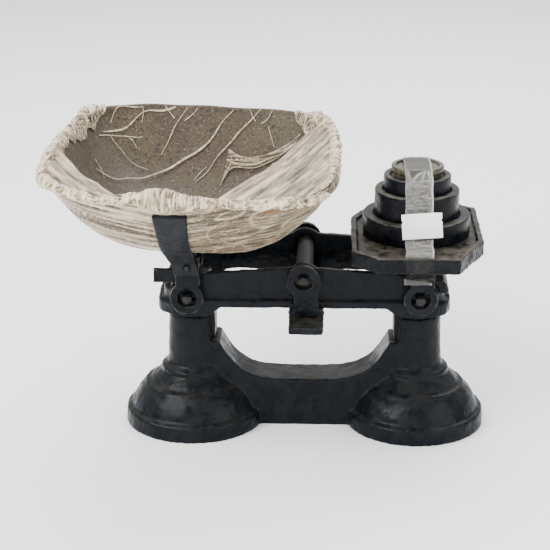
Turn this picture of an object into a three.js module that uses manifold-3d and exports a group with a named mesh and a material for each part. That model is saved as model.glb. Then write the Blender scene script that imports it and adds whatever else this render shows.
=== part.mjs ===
// Equal-arm counter scale in cast iron: a beam on knife edges, a goods pan on the left carrier, a plate with
// a stack of round weights on the right carrier, and a stay inside the base that keeps both carriers upright.
// Millimetres, +Z up, origin on the counter midway between the two pillars, -Y towards the user.
import * as THREE from 'three';
import { mergeVertices } from 'three/addons/utils/BufferGeometryUtils.js';
import Module from 'manifold-3d';

const wasm = await Module();
wasm.setup();

// ---- fits shared by every piece ----
const REST_GAP = 0.3;        // between two pieces that rest on each other
const PIN_CLEARANCE = 0.3;   // radial, round a fixed pin
const PIVOT_CLEARANCE = 0.7; // radial, round the pins of the stay
const SWING_GAP = 1.0;       // between fixed and swinging pieces side by side

// ---- overall layout ----
const ARM = 105;             // centre knife to end knife, and centre of the base to each pillar
const KNIFE_Z = 152;         // all three knife edges lie at this height
const STAY_Z = 26;           // height of the stay's three pins
const RING_BACK_Y = 60;      // inner faces of the knife rings, front and back of the beam
const RING_THICK = 5.5;
const RING_SIDES = 28;

// ---- base casting ----
const FOOT_R = 66;
const RIM_H = 13;
// points of the bell: the share of the way from the pillar out to the rim, and the height
const BELL = [[0.833, 24], [0.707, 31.2], [0.526, 39.6], [0.34, 46.2], [0.177, 51.2]];
const HOLLOW = [[0.86, 21], [0.512, 38], [0.116, 50.5]];
// points of the collar above the bell: how far it stands out of the pillar, and the height
const COLLAR = [[8.2, 53], [7.2, 56], [2.6, 59.2], [1.6, 62]];
const FOOT_SIDES = 30;
const PILLAR_R = 23;
const PILLAR_TOP_Z = KNIFE_Z - 43;
const BASE_WALL = 6;
const BRIDGE_HALF_Y = 20;
const BRIDGE_MID_Z = 46.6;   // top of the bridge at its middle
const SHOULDER_Z = PILLAR_TOP_Z - 25; // flat top of the bridge beside each pillar
const HORN_X = ARM - 25;     // where the bridge's hollowed top meets the shoulder
const HORN_POWER = 4.5;
const NOTCH_HALF_Y = 15;     // the pillars' inner sides are notched from the top for the rail
const RIB_H = 12;            // cross rib under the middle of the bridge
const LUG_THICK = 5;

// ---- fulcrum ----
const RAIL_HALF_Y = 6;
const RAIL_H = 15;
const TAB_HALF_Y = 12;
const TAB_THICK = 8;
const SADDLE_TOP_Z = KNIFE_Z - 25.5;
const SADDLE_H = 6.5;
const SADDLE_HALF_Y = RING_BACK_Y + 32;
const SADDLE_W = 31;
const TANG_W = 22;
const TANG_X = 2.6;          // the tangs stand a little to the right of the knife
const CHEEK_FRONT_H = [12.5, 8];
const FULCRUM_HOLE_R = 8.3;
const FULCRUM_RING_R = 15.3;

// ---- beam ----
const FLANGE_OUT = 5.5;
const WEB_OUT_Y = RING_BACK_Y - FLANGE_OUT - SWING_GAP;
const WEB_THICK = 6;
const BEAM_END_X = ARM + 23.5;
const WAIST_X = ARM - 30;    // the beam's sides deepen from here to each end
const END_TOP_X = ARM + 13;  // and their tops step down from here
const BEAM_CORNER_R = 24;
const WEB_TOP_Z = KNIFE_Z + 11.5;
const FLANGE_TOP_Z = KNIFE_Z - 12.4;
const BEAM_BOTTOM_Z = KNIFE_Z - 19;
const END_BOTTOM_Z = KNIFE_Z - 28.5;
const END_FLANGE_TOP_Z = KNIFE_Z - 17;
const END_WEB_TOP_Z = KNIFE_Z - 6;
const HUMP_Z = KNIFE_Z + 6;
const HUMP_R = 16;
const TIE_R = 8;
const END_BOSS_R = 17;       // round bosses that hold the end knives

// ---- knives and carriers ----
const PEAR_R = 4.3;
const PEAR_H = 12.6;
const KNIFE_PROUD = 1;       // how far a knife stands out of its ring
const END_HOLE_R = 8.7;
const END_RING_R = 15.2;
const NECK_W = 22;
const YOKE_W = 12;
const NECK_FULL_Z = KNIFE_Z + 5; // where the neck above an end ring reaches its full width
const NECK_TOP_Z = KNIFE_Z + 30; // of the pan carrier's necks, behind the straps
const YOKE_BOTTOM_Z = KNIFE_Z + 13;
const YOKE_TOP_Z = KNIFE_Z + 24;
const BOSS_HALF = 10;
const BOSS_DROP = 9;         // the boss reaches this far below the yoke
const SOCKET_TOP_Z = KNIFE_Z + 17.5;
const RIVET_Z = KNIFE_Z + 22;
const RIVET_R = 2.5;
const STUB_X = 30;           // the pan carrier's side bars reach this far past its knife
const STUB_H = 12.5;
// the small web on the neck's other side, from the knife
const TAB = [[4, 6], [12, 12.5], [23, 17.5], [21, 19], [4, 20]];
const LEG_X = 10;
const LEG_Y = 14;
const LEG_PIN_R = 2;
const LEG_PIN_Z = YOKE_BOTTOM_Z - 4;
const STAY_PIN_R = 2.5;
const STAY_THICK = 6;
const STAY_H = 10;

// ---- goods pan ----
const PAN_X = 1 - ARM;
const PAN_Z = KNIFE_Z + 32;
const PAN_HALF_X = 127;
const PAN_HALF_Y = 158;
const PAN_DEPTH = 78;
const PAN_POWER = 2.9;       // how flat the bottom is before the wall turns up
const PAN_SQUARENESS = 4;    // exponent of the rounded-rectangle outline
const PAN_WALL = 2;
const BEAD_R = 3;
const PAN_SIDES = 36;
const PAN_STEPS = 7;
const PAN_TILT = 2;          // degrees, right side low, as it lies in its cradle
const FILM_GAP = 0.5;
const FILM_THICK = 1;

// ---- straps that cradle the pan ----
const STRAP_THICK = 4;
const STRAP_TOP_W = 29;
const STRAP_TOP_SHIFT = -6;
const STRAP_FROM_Y = RING_BACK_Y + 22;
const STRAP_TO_Y = PAN_HALF_Y - 8;
const STRAP_FOOT_Z = KNIFE_Z + 15;

// ---- weight plate and weights ----
const PLATE_X = ARM - 2.5;
const PLATE_HALF_X = 59.7;
const PLATE_HALF_Y = 88;
const PLATE_BOTTOM_Z = KNIFE_Z + 24.5;
const PLATE_FLOOR_Z = PLATE_BOTTOM_Z + 10;
const PLATE_TOP_Z = PLATE_FLOOR_Z + 4;
const PLATE_RIM = 5;
const SHORT_CORNER = [22.7, 22];
const LONG_CORNER = [25.1, 54];
const WEIGHT_X = PLATE_X;
const WEIGHTS = [
  { name: 'weight_two_pound', r: 49.3, rise: 20.5 },
  { name: 'weight_one_pound', r: 38.8, rise: 23 },
  { name: 'weight_half_pound', r: 30.8, rise: 13.5 },
  { name: 'weight_quarter_pound', r: 24, rise: 9 },
];
const WEIGHT_SIDES = 30;
const RECESS = 2.6;
const RECESS_CLEARANCE = 0.8;
const TAPE_W = 25;
const TAPE_THICK = 0.8;
const TAPE_GAP = 0.6;        // between the tape and what it lies on
const TAG_W = 36;
const TAG_H = 23.5;
const TAG_GAP = 4.7;         // the tag stands this far in front of the largest weight

// ---- materials ----
const iron = { color: 0x23272d, roughness: 0.5, metalness: 0.3 };
const steel = { color: 0x3a3c40, roughness: 0.4, metalness: 0.8 };
const wornSteel = { color: 0x77726a, roughness: 0.5, metalness: 0.7 };
const tinned = { color: 0x6b6258, roughness: 0.55, metalness: 0.6 };
const brass = { color: 0x6e684f, roughness: 0.45, metalness: 0.7 };
const film = { color: 0xcfc4b3, roughness: 0.3, metalness: 0 };
const paper = { color: 0xf2f2f0, roughness: 0.7, metalness: 0 };

const scale = new THREE.Group();
scale.name = 'counter_scale';

function solid(geometry) {
  const bare = geometry.clone();
  bare.deleteAttribute('normal');
  bare.deleteAttribute('uv');
  const merged = mergeVertices(bare, 1e-4);
  const vertProperties = new Float32Array(merged.attributes.position.array);
  const triVerts = new Uint32Array(merged.index.array);
  return new wasm.Manifold(new wasm.Mesh({ numProp: 3, vertProperties, triVerts }));
}

function geometryOf(manifold) {
  const mesh = manifold.getMesh();
  const geometry = new THREE.BufferGeometry();
  geometry.setAttribute('position', new THREE.BufferAttribute(new Float32Array(mesh.vertProperties), 3));
  geometry.setIndex(new THREE.BufferAttribute(new Uint32Array(mesh.triVerts), 1));
  return geometry;
}

function add(name, shape, finish, parent = scale) {
  const geometry = shape instanceof THREE.BufferGeometry ? shape : geometryOf(shape);
  const mesh = new THREE.Mesh(geometry, new THREE.MeshStandardMaterial(finish));
  mesh.name = name;
  parent.add(mesh);
}

function box(x0, x1, y0, y1, z0, z1) {
  const geometry = new THREE.BoxGeometry(x1 - x0, y1 - y0, z1 - z0);
  geometry.translate((x0 + x1) / 2, (y0 + y1) / 2, (z0 + z1) / 2);
  return solid(geometry);
}

// a cylinder along y, from y0 to y1, centred at (x, z)
function rodY(x, z, r, y0, y1, sides = 16) {
  const geometry = new THREE.CylinderGeometry(r, r, y1 - y0, sides);
  geometry.translate(x, (y0 + y1) / 2, z);
  return solid(geometry);
}

function rodX(y, z, r, x0, x1, sides = 12) {
  const geometry = new THREE.CylinderGeometry(r, r, x1 - x0, sides);
  geometry.rotateZ(Math.PI / 2);
  geometry.translate((x0 + x1) / 2, y, z);
  return solid(geometry);
}

function rodZ(x, y, r, z0, z1, sides = 16) {
  const geometry = new THREE.CylinderGeometry(r, r, z1 - z0, sides);
  geometry.rotateX(Math.PI / 2);
  geometry.translate(x, y, (z0 + z1) / 2);
  return solid(geometry);
}

function shapeOf(points) {
  return new THREE.Shape(points.map(([u, v]) => new THREE.Vector2(u, v)));
}

// a shape drawn in the x-z plane, extruded from y0 to y1
function plateXZ(shape, y0, y1) {
  const options = { depth: y1 - y0, bevelEnabled: false, curveSegments: 8 };
  const geometry = new THREE.ExtrudeGeometry(shape, options);
  geometry.rotateX(Math.PI / 2);
  geometry.translate(0, y1, 0);
  return geometry;
}

// a shape drawn in the y-z plane, extruded from x0 to x1
function plateYZ(shape, x0, x1) {
  const options = { depth: x1 - x0, bevelEnabled: false, curveSegments: 8 };
  const geometry = new THREE.ExtrudeGeometry(shape, options);
  const turn = new THREE.Matrix4().makeBasis(
    new THREE.Vector3(0, 1, 0),
    new THREE.Vector3(0, 0, 1),
    new THREE.Vector3(1, 0, 0),
  );
  geometry.applyMatrix4(turn);
  geometry.translate(x0, 0, 0);
  return geometry;
}

// a shape drawn in the x-y plane, extruded from z0 to z1
function plateXY(shape, z0, z1) {
  const options = { depth: z1 - z0, bevelEnabled: false, curveSegments: 6 };
  const geometry = new THREE.ExtrudeGeometry(shape, options);
  geometry.translate(0, 0, z0);
  return geometry;
}

// a profile of [radius, height] points turned round a vertical axis
function turned(profile, sides, x = 0, y = 0) {
  const geometry = new THREE.LatheGeometry(profile.map(([r, z]) => new THREE.Vector2(r, z)), sides);
  geometry.rotateX(Math.PI / 2);
  geometry.translate(x, y, 0);
  return geometry;
}

function roundedRectangle(halfX, halfY, corner) {
  const shape = new THREE.Shape();
  shape.absarc(halfX - corner, halfY - corner, corner, 0, Math.PI / 2, false);
  shape.absarc(corner - halfX, halfY - corner, corner, Math.PI / 2, Math.PI, false);
  shape.absarc(corner - halfX, corner - halfY, corner, Math.PI, 1.5 * Math.PI, false);
  shape.absarc(halfX - corner, corner - halfY, corner, 1.5 * Math.PI, 2 * Math.PI, false);
  return shape;
}

// the height of the bridge's hollowed top at a distance x from the middle
function bridgeTop(x) {
  return BRIDGE_MID_Z + (SHOULDER_Z - BRIDGE_MID_Z) * (Math.abs(x) / HORN_X) ** HORN_POWER;
}

// the bridge's outline from pillar to pillar, lowered by drop all along its top
function bridgeOutline(halfLength, drop, bottom) {
  const points = [[-halfLength, bottom], [halfLength, bottom], [halfLength, SHOULDER_Z - drop]];
  const steps = 20;
  const reach = HORN_X + drop;
  for (let i = 0; i <= steps; i += 1) {
    const x = reach * Math.cos((Math.PI * i) / steps);
    const top = Math.min(bridgeTop(x), SHOULDER_Z) - drop;
    points.push([x, top]);
  }
  points.push([-halfLength, SHOULDER_Z - drop]);
  return shapeOf(points);
}

function baseCasting() {
  const foot = [[0, 0], [FOOT_R, 0], [FOOT_R - 0.4, 5], [FOOT_R - 2.4, RIM_H], [FOOT_R - 4, RIM_H + 1.2]];
  foot.push(...BELL.map(([share, z]) => [PILLAR_R + share * (FOOT_R - PILLAR_R), z]));
  foot.push(...COLLAR.map(([proud, z]) => [PILLAR_R + proud, z]));
  foot.push([PILLAR_R, PILLAR_TOP_Z], [0, PILLAR_TOP_Z]);
  const hollow = [[0, -1], [FOOT_R - BASE_WALL, -1], [FOOT_R - BASE_WALL, 4], [FOOT_R - BASE_WALL - 2.5, 12]];
  hollow.push(...HOLLOW.map(([share, z]) => [PILLAR_R - BASE_WALL + share * (FOOT_R - PILLAR_R), z]));
  hollow.push([PILLAR_R - BASE_WALL + 1, 60]);
  hollow.push([PILLAR_R - BASE_WALL, PILLAR_TOP_Z + 1], [0, PILLAR_TOP_Z + 1]);
  const outerBridge = plateXZ(bridgeOutline(ARM, 0, 0), -BRIDGE_HALF_Y, BRIDGE_HALF_Y);
  const innerHalfY = BRIDGE_HALF_Y - BASE_WALL;
  let casting = solid(outerBridge);
  let inside = solid(plateXZ(bridgeOutline(ARM, BASE_WALL, -1), -innerHalfY, innerHalfY));
  for (const side of [-1, 1]) {
    casting = casting.add(solid(turned(foot, FOOT_SIDES, side * ARM)));
    inside = inside.add(solid(turned(hollow, FOOT_SIDES, side * ARM)));
    const inner = side * (ARM - 8.5);
    const outer = side * (ARM - PILLAR_R - 5);
    const notch = [Math.min(inner, outer), Math.max(inner, outer)];
    inside = inside.add(box(...notch, -NOTCH_HALF_Y, NOTCH_HALF_Y, SHOULDER_Z, PILLAR_TOP_Z + 1));
  }
  casting = casting.subtract(inside);
  casting = casting.add(box(-8, 8, -innerHalfY - 1, innerHalfY + 1, 0, RIB_H));
  for (const side of [-1, 1]) {
    const near = STAY_THICK / 2 + SWING_GAP;
    const lug = [side * near, side * (near + LUG_THICK)].sort((a, b) => a - b);
    casting = casting.add(box(-7, 7, ...lug, RIB_H - 1, STAY_Z + 7));
  }
  const pinHole = rodY(0, STAY_Z, STAY_PIN_R + PIN_CLEARANCE, -innerHalfY + 1, innerHalfY - 1);
  return casting.subtract(pinHole);
}

const pinHalf = STAY_THICK / 2 + SWING_GAP + LUG_THICK + 1.5;
add('base_casting', baseCasting(), iron);
add('stay_centre_pin', rodY(0, STAY_Z, STAY_PIN_R, -pinHalf, pinHalf), steel);

// ---- fulcrum rail, saddle and rings: fixed to the base ----
const railBottom = SADDLE_TOP_Z + REST_GAP;
const railTop = railBottom + RAIL_H;
const tabOuterX = ARM - PILLAR_R + 1.5 + TAB_THICK;
const boltX = [TANG_X - 8, TANG_X + 8];
const BOLT_R = 2.5;
const BOLT_HEAD = 3.5;

function fulcrumRail() {
  let rail = box(-tabOuterX, tabOuterX, -RAIL_HALF_Y, RAIL_HALF_Y, railBottom, railTop);
  for (const side of [-1, 1]) {
    const faces = [side * (tabOuterX - TAB_THICK), side * tabOuterX].sort((a, b) => a - b);
    rail = rail.add(box(...faces, -TAB_HALF_Y, TAB_HALF_Y, SHOULDER_Z + REST_GAP, railTop));
  }
  for (const x of boltX) {
    rail = rail.subtract(rodZ(x, 0, BOLT_R + PIN_CLEARANCE, railBottom - 1, railTop + 1));
  }
  return rail;
}

function saddle() {
  const left = TANG_X - SADDLE_W / 2;
  const right = TANG_X + SADDLE_W / 2;
  const bottom = SADDLE_TOP_Z - SADDLE_H;
  const round = 2.5;
  const section = new THREE.Shape();
  section.moveTo(right, SADDLE_TOP_Z);
  section.lineTo(left, SADDLE_TOP_Z);
  section.lineTo(left, bottom + round);
  section.absarc(left + round, bottom + round, round, Math.PI, 1.5 * Math.PI, false);
  section.absarc(right - round, bottom + round, round, 1.5 * Math.PI, 2 * Math.PI, false);
  section.lineTo(right, SADDLE_TOP_Z);
  let bar = solid(plateXZ(section, -SADDLE_HALF_Y, SADDLE_HALF_Y));
  const tangLeft = TANG_X - TANG_W / 2 - REST_GAP;
  const tangRight = TANG_X + TANG_W / 2 + REST_GAP;
  const [leftH, rightH] = CHEEK_FRONT_H;
  for (const side of [-1, 1]) {
    const depth = [side * RING_BACK_Y, side * (RING_BACK_Y + RING_THICK + 0.5)].sort((a, b) => a - b);
    bar = bar.add(box(left, tangLeft, ...depth, SADDLE_TOP_Z - 1, SADDLE_TOP_Z + leftH));
    bar = bar.add(box(tangRight, right, ...depth, SADDLE_TOP_Z - 1, SADDLE_TOP_Z + rightH));
  }
  for (const x of boltX) {
    bar = bar.subtract(rodZ(x, 0, BOLT_R + PIN_CLEARANCE, bottom - 1, SADDLE_TOP_Z + 1));
  }
  return bar.subtract(saddlePin(-1, PIN_CLEARANCE)).subtract(saddlePin(1, PIN_CLEARANCE));
}

// the pin that holds a fulcrum ring's tang between the saddle's cheeks
function saddlePin(side, extra) {
  const y = side * (RING_BACK_Y + RING_THICK / 2);
  const reach = SADDLE_W / 2 + 0.8 + 2 * extra;
  return rodX(y, SADDLE_TOP_Z + 4, 1.5 + extra, TANG_X - reach, TANG_X + reach);
}

function fulcrumRing(side) {
  const depth = [side * RING_BACK_Y, side * (RING_BACK_Y + RING_THICK)].sort((a, b) => a - b);
  const centreZ = KNIFE_Z - REST_GAP / 2 + FULCRUM_HOLE_R;
  const ring = rodY(0, centreZ, FULCRUM_RING_R, ...depth, RING_SIDES);
  const half = TANG_W / 2;
  const tang = box(TANG_X - half, TANG_X + half, ...depth, SADDLE_TOP_Z + REST_GAP, centreZ - 9);
  const hole = rodY(0, centreZ, FULCRUM_HOLE_R, depth[0] - 1, depth[1] + 1, RING_SIDES);
  return ring.add(tang).subtract(hole).subtract(saddlePin(side, PIN_CLEARANCE));
}

// a bolt with a hexagon head under the saddle, and its nut on top of the rail
function saddleBolt(x) {
  const bottom = SADDLE_TOP_Z - SADDLE_H - REST_GAP;
  const head = rodZ(x, 0, 4.6, bottom - BOLT_HEAD, bottom, 6);
  return head.add(rodZ(x, 0, BOLT_R, bottom - 1, railTop + 5));
}

function saddleNut(x) {
  const nut = rodZ(x, 0, 4.6, railTop + REST_GAP, railTop + REST_GAP + BOLT_HEAD, 6);
  return nut.subtract(rodZ(x, 0, BOLT_R + PIN_CLEARANCE / 2, railTop, railTop + 6));
}

add('fulcrum_rail', fulcrumRail(), iron);
add('fulcrum_saddle', saddle(), iron);
for (const [end, side] of [['front', -1], ['rear', 1]]) {
  add(`fulcrum_ring_${end}`, fulcrumRing(side), iron);
  add(`saddle_pin_${end}`, saddlePin(side, 0), steel);
}
for (const [place, index] of [['left', 0], ['right', 1]]) {
  add(`saddle_bolt_${place}`, saddleBolt(boltX[index]), steel);
  add(`saddle_nut_${place}`, saddleNut(boltX[index]), steel);
}
for (const [place, side] of [['left', -1], ['right', 1]]) {
  const faces = [side * (tabOuterX - TAB_THICK), side * (tabOuterX - TAB_THICK + 4)].sort((a, b) => a - b);
  const width = [TAB_HALF_Y + REST_GAP, NOTCH_HALF_Y - REST_GAP];
  const wedge = box(...faces, ...width, SHOULDER_Z + 1.5, PILLAR_TOP_Z + 3);
  add(`rail_wedge_${place}`, wedge, steel);
}

// ---- beam ----
function beamSide(topZ, bottomZ, endTopZ, endBottomZ, hump) {
  const end = BEAM_END_X + FLANGE_OUT + 1;
  const points = [[end, endTopZ], [END_TOP_X, endTopZ], [END_TOP_X - 20, topZ]];
  if (hump) {
    points.push([HUMP_R + 14, topZ + 4.5], [HUMP_R + 1, topZ + 5.5]);
  }
  const bottom = [[WAIST_X, bottomZ], [WAIST_X + 13, endBottomZ], [end, endBottomZ]];
  const half = [...bottom, ...points];
  return shapeOf([...half, ...half.map(([x, z]) => [-x, z]).reverse()]);
}

function frameRing(halfX, halfY, corner, thick, z0, z1) {
  const outer = solid(plateXY(roundedRectangle(halfX, halfY, corner), z0, z1));
  const hole = roundedRectangle(halfX - thick, halfY - thick, Math.max(corner - thick, 2));
  return outer.subtract(solid(plateXY(hole, z0 - 1, z1 + 1)));
}

function beamCasting() {
  const far = WEB_OUT_Y + FLANGE_OUT + 2;
  const webProfile = beamSide(WEB_TOP_Z, BEAM_BOTTOM_Z, END_WEB_TOP_Z, END_BOTTOM_Z, true);
  const web = frameRing(BEAM_END_X, WEB_OUT_Y, BEAM_CORNER_R, WEB_THICK, PILLAR_TOP_Z, YOKE_TOP_Z);
  let casting = web.intersect(solid(plateXZ(webProfile, -far, far)));
  const flangeProfile = beamSide(FLANGE_TOP_Z, BEAM_BOTTOM_Z, END_FLANGE_TOP_Z, END_BOTTOM_Z, false);
  const outX = BEAM_END_X + FLANGE_OUT;
  const outY = WEB_OUT_Y + FLANGE_OUT;
  const thick = FLANGE_OUT + WEB_THICK / 2;
  const flange = frameRing(outX, outY, BEAM_CORNER_R + FLANGE_OUT, thick, PILLAR_TOP_Z, YOKE_TOP_Z);
  casting = casting.add(flange.intersect(solid(plateXZ(flangeProfile, -far, far))));
  for (const side of [-1, 1]) {
    const depth = [side * (WEB_OUT_Y - WEB_THICK), side * WEB_OUT_Y].sort((a, b) => a - b);
    casting = casting.add(rodY(0, HUMP_Z, HUMP_R, ...depth, RING_SIDES));
    for (const end of [-1, 1]) {
      casting = casting.add(rodY(end * ARM, KNIFE_Z - 8, END_BOSS_R, ...depth, RING_SIDES));
    }
  }
  return casting.subtract(rodY(0, HUMP_Z, TIE_R + PIN_CLEARANCE, -WEB_OUT_Y - 1, WEB_OUT_Y + 1, 28));
}

// a pear-shaped knife along y: round back, edge at the height edgeZ, pointing up (1) or down (-1)
function knife(x, edgeZ, direction, y0, y1) {
  const lean = Math.acos(PEAR_R / (PEAR_H - PEAR_R));
  const shape = new THREE.Shape();
  const centre = edgeZ - direction * (PEAR_H - PEAR_R);
  const top = direction * Math.PI / 2;
  shape.moveTo(x, edgeZ);
  shape.absarc(x, centre, PEAR_R, top + lean, top + 2 * Math.PI - lean, false);
  return solid(plateXZ(shape, y0, y1));
}

const wholeBeam = beamCasting();
add('beam_casting', wholeBeam, iron);
const tieHalf = WEB_OUT_Y + REST_GAP;
add('tie_bar', rodY(0, HUMP_Z, TIE_R, -tieHalf + 1, tieHalf - 1, 28), wornSteel);
for (const [end, side] of [['front', -1], ['rear', 1]]) {
  const from = WEB_OUT_Y + REST_GAP;
  const to = RING_BACK_Y + RING_THICK + KNIFE_PROUD;
  const depth = [side * from, side * to].sort((a, b) => a - b);
  add(`centre_knife_${end}`, knife(0, KNIFE_Z + REST_GAP / 2, -1, ...depth), steel);
  add(`left_knife_${end}`, knife(-ARM, KNIFE_Z - REST_GAP / 2, 1, ...depth), steel);
  add(`right_knife_${end}`, knife(ARM, KNIFE_Z - REST_GAP / 2, 1, ...depth), steel);
}

// the block that balances the beam: it stands on the casting's front right corner
const BALANCE_W = 16;
const BALANCE_H = 12;
const BALANCE_DEPTH = 21.5;
const BALANCE_BEVEL = 3;
const balanceX = BEAM_END_X + 0.5;
const balanceShape = shapeOf([[balanceX - BALANCE_W, 0], [balanceX, 0], [balanceX, BALANCE_H - BALANCE_BEVEL],
  [balanceX - BALANCE_BEVEL, BALANCE_H], [balanceX - BALANCE_W, BALANCE_H]]);
const balance = plateXZ(balanceShape, 1.5 - WEB_OUT_Y, 1.5 - WEB_OUT_Y + BALANCE_DEPTH);
balance.translate(0, 0, END_WEB_TOP_Z + REST_GAP);
add('balance_block', solid(balance).subtract(wholeBeam.translate([0, 0, REST_GAP])), iron);

// ---- carriers ----
function carrierRing(x, side, neckX, neckTop) {
  const depth = [side * RING_BACK_Y, side * (RING_BACK_Y + RING_THICK)].sort((a, b) => a - b);
  const centreZ = KNIFE_Z + REST_GAP / 2 - END_HOLE_R;
  const ring = rodY(x, centreZ, END_RING_R, ...depth, RING_SIDES);
  const half = NECK_W / 2;
  const neck = shapeOf([[neckX - 9, centreZ + 8], [neckX + 9, centreZ + 8], [neckX + half, NECK_FULL_Z],
    [neckX + half, neckTop], [neckX - half, neckTop], [neckX - half, NECK_FULL_Z]]);
  const hole = rodY(x, centreZ, END_HOLE_R, depth[0] - 1, depth[1] + 1, RING_SIDES);
  return ring.add(solid(plateXZ(neck, ...depth))).subtract(hole);
}

// rings, necks and yoke in one casting, with a boss that holds the leg in a square socket
function carrier(x, neckTop, seatTop) {
  const reach = RING_BACK_Y + 1;
  let casting = box(x - YOKE_W / 2, x + YOKE_W / 2, -reach, reach, YOKE_BOTTOM_Z, YOKE_TOP_Z);
  const bossBottom = YOKE_BOTTOM_Z - BOSS_DROP;
  casting = casting.add(box(x - BOSS_HALF, x + BOSS_HALF, -BOSS_HALF, BOSS_HALF, bossBottom, seatTop));
  for (const side of [-1, 1]) {
    casting = casting.add(carrierRing(x, side, x + 1, neckTop));
  }
  const gap = REST_GAP;
  const socket = [x - LEG_X / 2 - gap, x + LEG_X / 2 + gap, -LEG_Y / 2 - gap, LEG_Y / 2 + gap];
  casting = casting.subtract(box(...socket, YOKE_BOTTOM_Z - BOSS_DROP - 1, SOCKET_TOP_Z));
  return casting.subtract(legPin(x, PIN_CLEARANCE));
}

function legPin(x, extra) {
  const reach = BOSS_HALF + 1 + 2 * extra;
  return rodX(0, LEG_PIN_Z, LEG_PIN_R + extra, x - reach, x + reach);
}

// the leg hangs from the carrier through the hollow pillar and takes the stay in a fork
function leg(x) {
  const top = SOCKET_TOP_Z - REST_GAP;
  const fork = STAY_THICK / 2 + SWING_GAP / 2;
  let bar = box(x - LEG_X / 2, x + LEG_X / 2, -LEG_Y / 2, LEG_Y / 2, STAY_Z - 8, top);
  bar = bar.subtract(box(x - LEG_X, x + LEG_X, -fork, fork, STAY_Z - 9, STAY_Z + 10));
  bar = bar.subtract(rodY(x, STAY_Z, STAY_PIN_R + PIN_CLEARANCE, -LEG_Y, LEG_Y));
  return bar.subtract(legPin(x, PIN_CLEARANCE));
}

function stay() {
  const half = STAY_THICK / 2;
  let bar = box(-ARM, ARM, -half, half, STAY_Z - STAY_H / 2, STAY_Z + STAY_H / 2);
  for (const x of [-ARM, 0, ARM]) {
    bar = bar.add(rodY(x, STAY_Z, STAY_H / 2 + 2, -half, half));
  }
  for (const x of [-ARM, 0, ARM]) {
    bar = bar.subtract(rodY(x, STAY_Z, STAY_PIN_R + PIVOT_CLEARANCE, -half - 1, half + 1));
  }
  return bar;
}

add('stay', stay(), steel);
const panSeat = PAN_Z - 2 * REST_GAP;
let leftCarrier = carrier(-ARM, NECK_TOP_Z, panSeat);
const sideBar = [RING_BACK_Y - 5.6, RING_BACK_Y + 1];
for (const side of [-1, 1]) {
  const depth = [side * sideBar[0], side * sideBar[1]].sort((a, b) => a - b);
  leftCarrier = leftCarrier.add(box(-ARM - STUB_X, -ARM + 5, ...depth, NECK_FULL_Z, NECK_FULL_Z + STUB_H));
  const tab = shapeOf(TAB.map(([x, z]) => [x - ARM, z + KNIFE_Z]));
  leftCarrier = leftCarrier.add(solid(plateXZ(tab, ...depth)));
  leftCarrier = leftCarrier.subtract(strapRivet(side, PIN_CLEARANCE));
}
add('left_carrier', leftCarrier, iron);
let rightCarrier = carrier(ARM, PLATE_BOTTOM_Z - REST_GAP, PLATE_BOTTOM_Z - REST_GAP);
const SCREW_R = 3;
const screwHole = rodZ(ARM, 0, SCREW_R + PIN_CLEARANCE, SOCKET_TOP_Z + 1, PLATE_TOP_Z);
rightCarrier = rightCarrier.subtract(screwHole);
add('right_carrier', rightCarrier, iron);
for (const [place, side] of [['left', -1], ['right', 1]]) {
  const x = side * ARM;
  add(`${place}_leg`, leg(x), steel);
  add(`${place}_leg_pin`, legPin(x, 0), steel);
  add(`${place}_stay_pin`, rodY(x, STAY_Z, STAY_PIN_R, -LEG_Y / 2 - 1.5, LEG_Y / 2 + 1.5), steel);
}

// ---- pan, its film and its straps ----
function panHeight(y) {
  return PAN_DEPTH * (Math.abs(y) / PAN_HALF_Y) ** PAN_POWER;
}

// the pan's outer profile moved outwards by offset along its normal, from share s0 to s1 of its half depth
function panProfile(offset, s0, s1, steps) {
  const points = [];
  for (let i = 0; i <= steps; i += 1) {
    const y = PAN_HALF_Y * (s0 + (s1 - s0) * (i / steps));
    const slope = (PAN_DEPTH * PAN_POWER / PAN_HALF_Y) * (y / PAN_HALF_Y) ** (PAN_POWER - 1);
    const length = Math.hypot(1, slope);
    points.push([y + (offset * slope) / length, panHeight(y) - offset / length]);
  }
  return points;
}

// points round the rolled rim, from its outer foot over the top to the inside
function overRim(radius) {
  const centre = [PAN_HALF_Y + BEAD_R - PAN_WALL, PAN_DEPTH + 1.5];
  const points = [];
  for (let i = 0; i <= 4; i += 1) {
    const angle = -0.9 + (i * (Math.PI + 0.9)) / 4;
    points.push([centre[0] + radius * Math.cos(angle), centre[1] + radius * Math.sin(angle)]);
  }
  return points;
}

// a ring or dish of the pan's rounded-rectangle outline: the profile's radius is the half depth along y
function panShaped(profile, sides) {
  const geometry = turned(profile, sides);
  const position = geometry.attributes.position;
  for (let i = 0; i < position.count; i += 1) {
    const x = position.getX(i);
    const y = position.getY(i);
    const r = Math.hypot(x, y);
    const c = r > 1e-6 ? x / r : 0;
    const s = r > 1e-6 ? y / r : 0;
    const power = 2 / PAN_SQUARENESS;
    const halfX = Math.max(r - (PAN_HALF_Y - PAN_HALF_X) * (r / PAN_HALF_Y), 0);
    position.setX(i, Math.sign(c) * Math.abs(c) ** power * halfX);
    position.setY(i, Math.sign(s) * Math.abs(s) ** power * r);
  }
  return geometry;
}

function pan() {
  const outer = panProfile(0, 0, 0.985, PAN_STEPS);
  const inner = panProfile(-PAN_WALL, 0, 0.985, PAN_STEPS).reverse();
  inner[inner.length - 1][0] = 0;
  return panShaped([...outer, ...overRim(BEAD_R), ...inner], PAN_SIDES);
}

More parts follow.
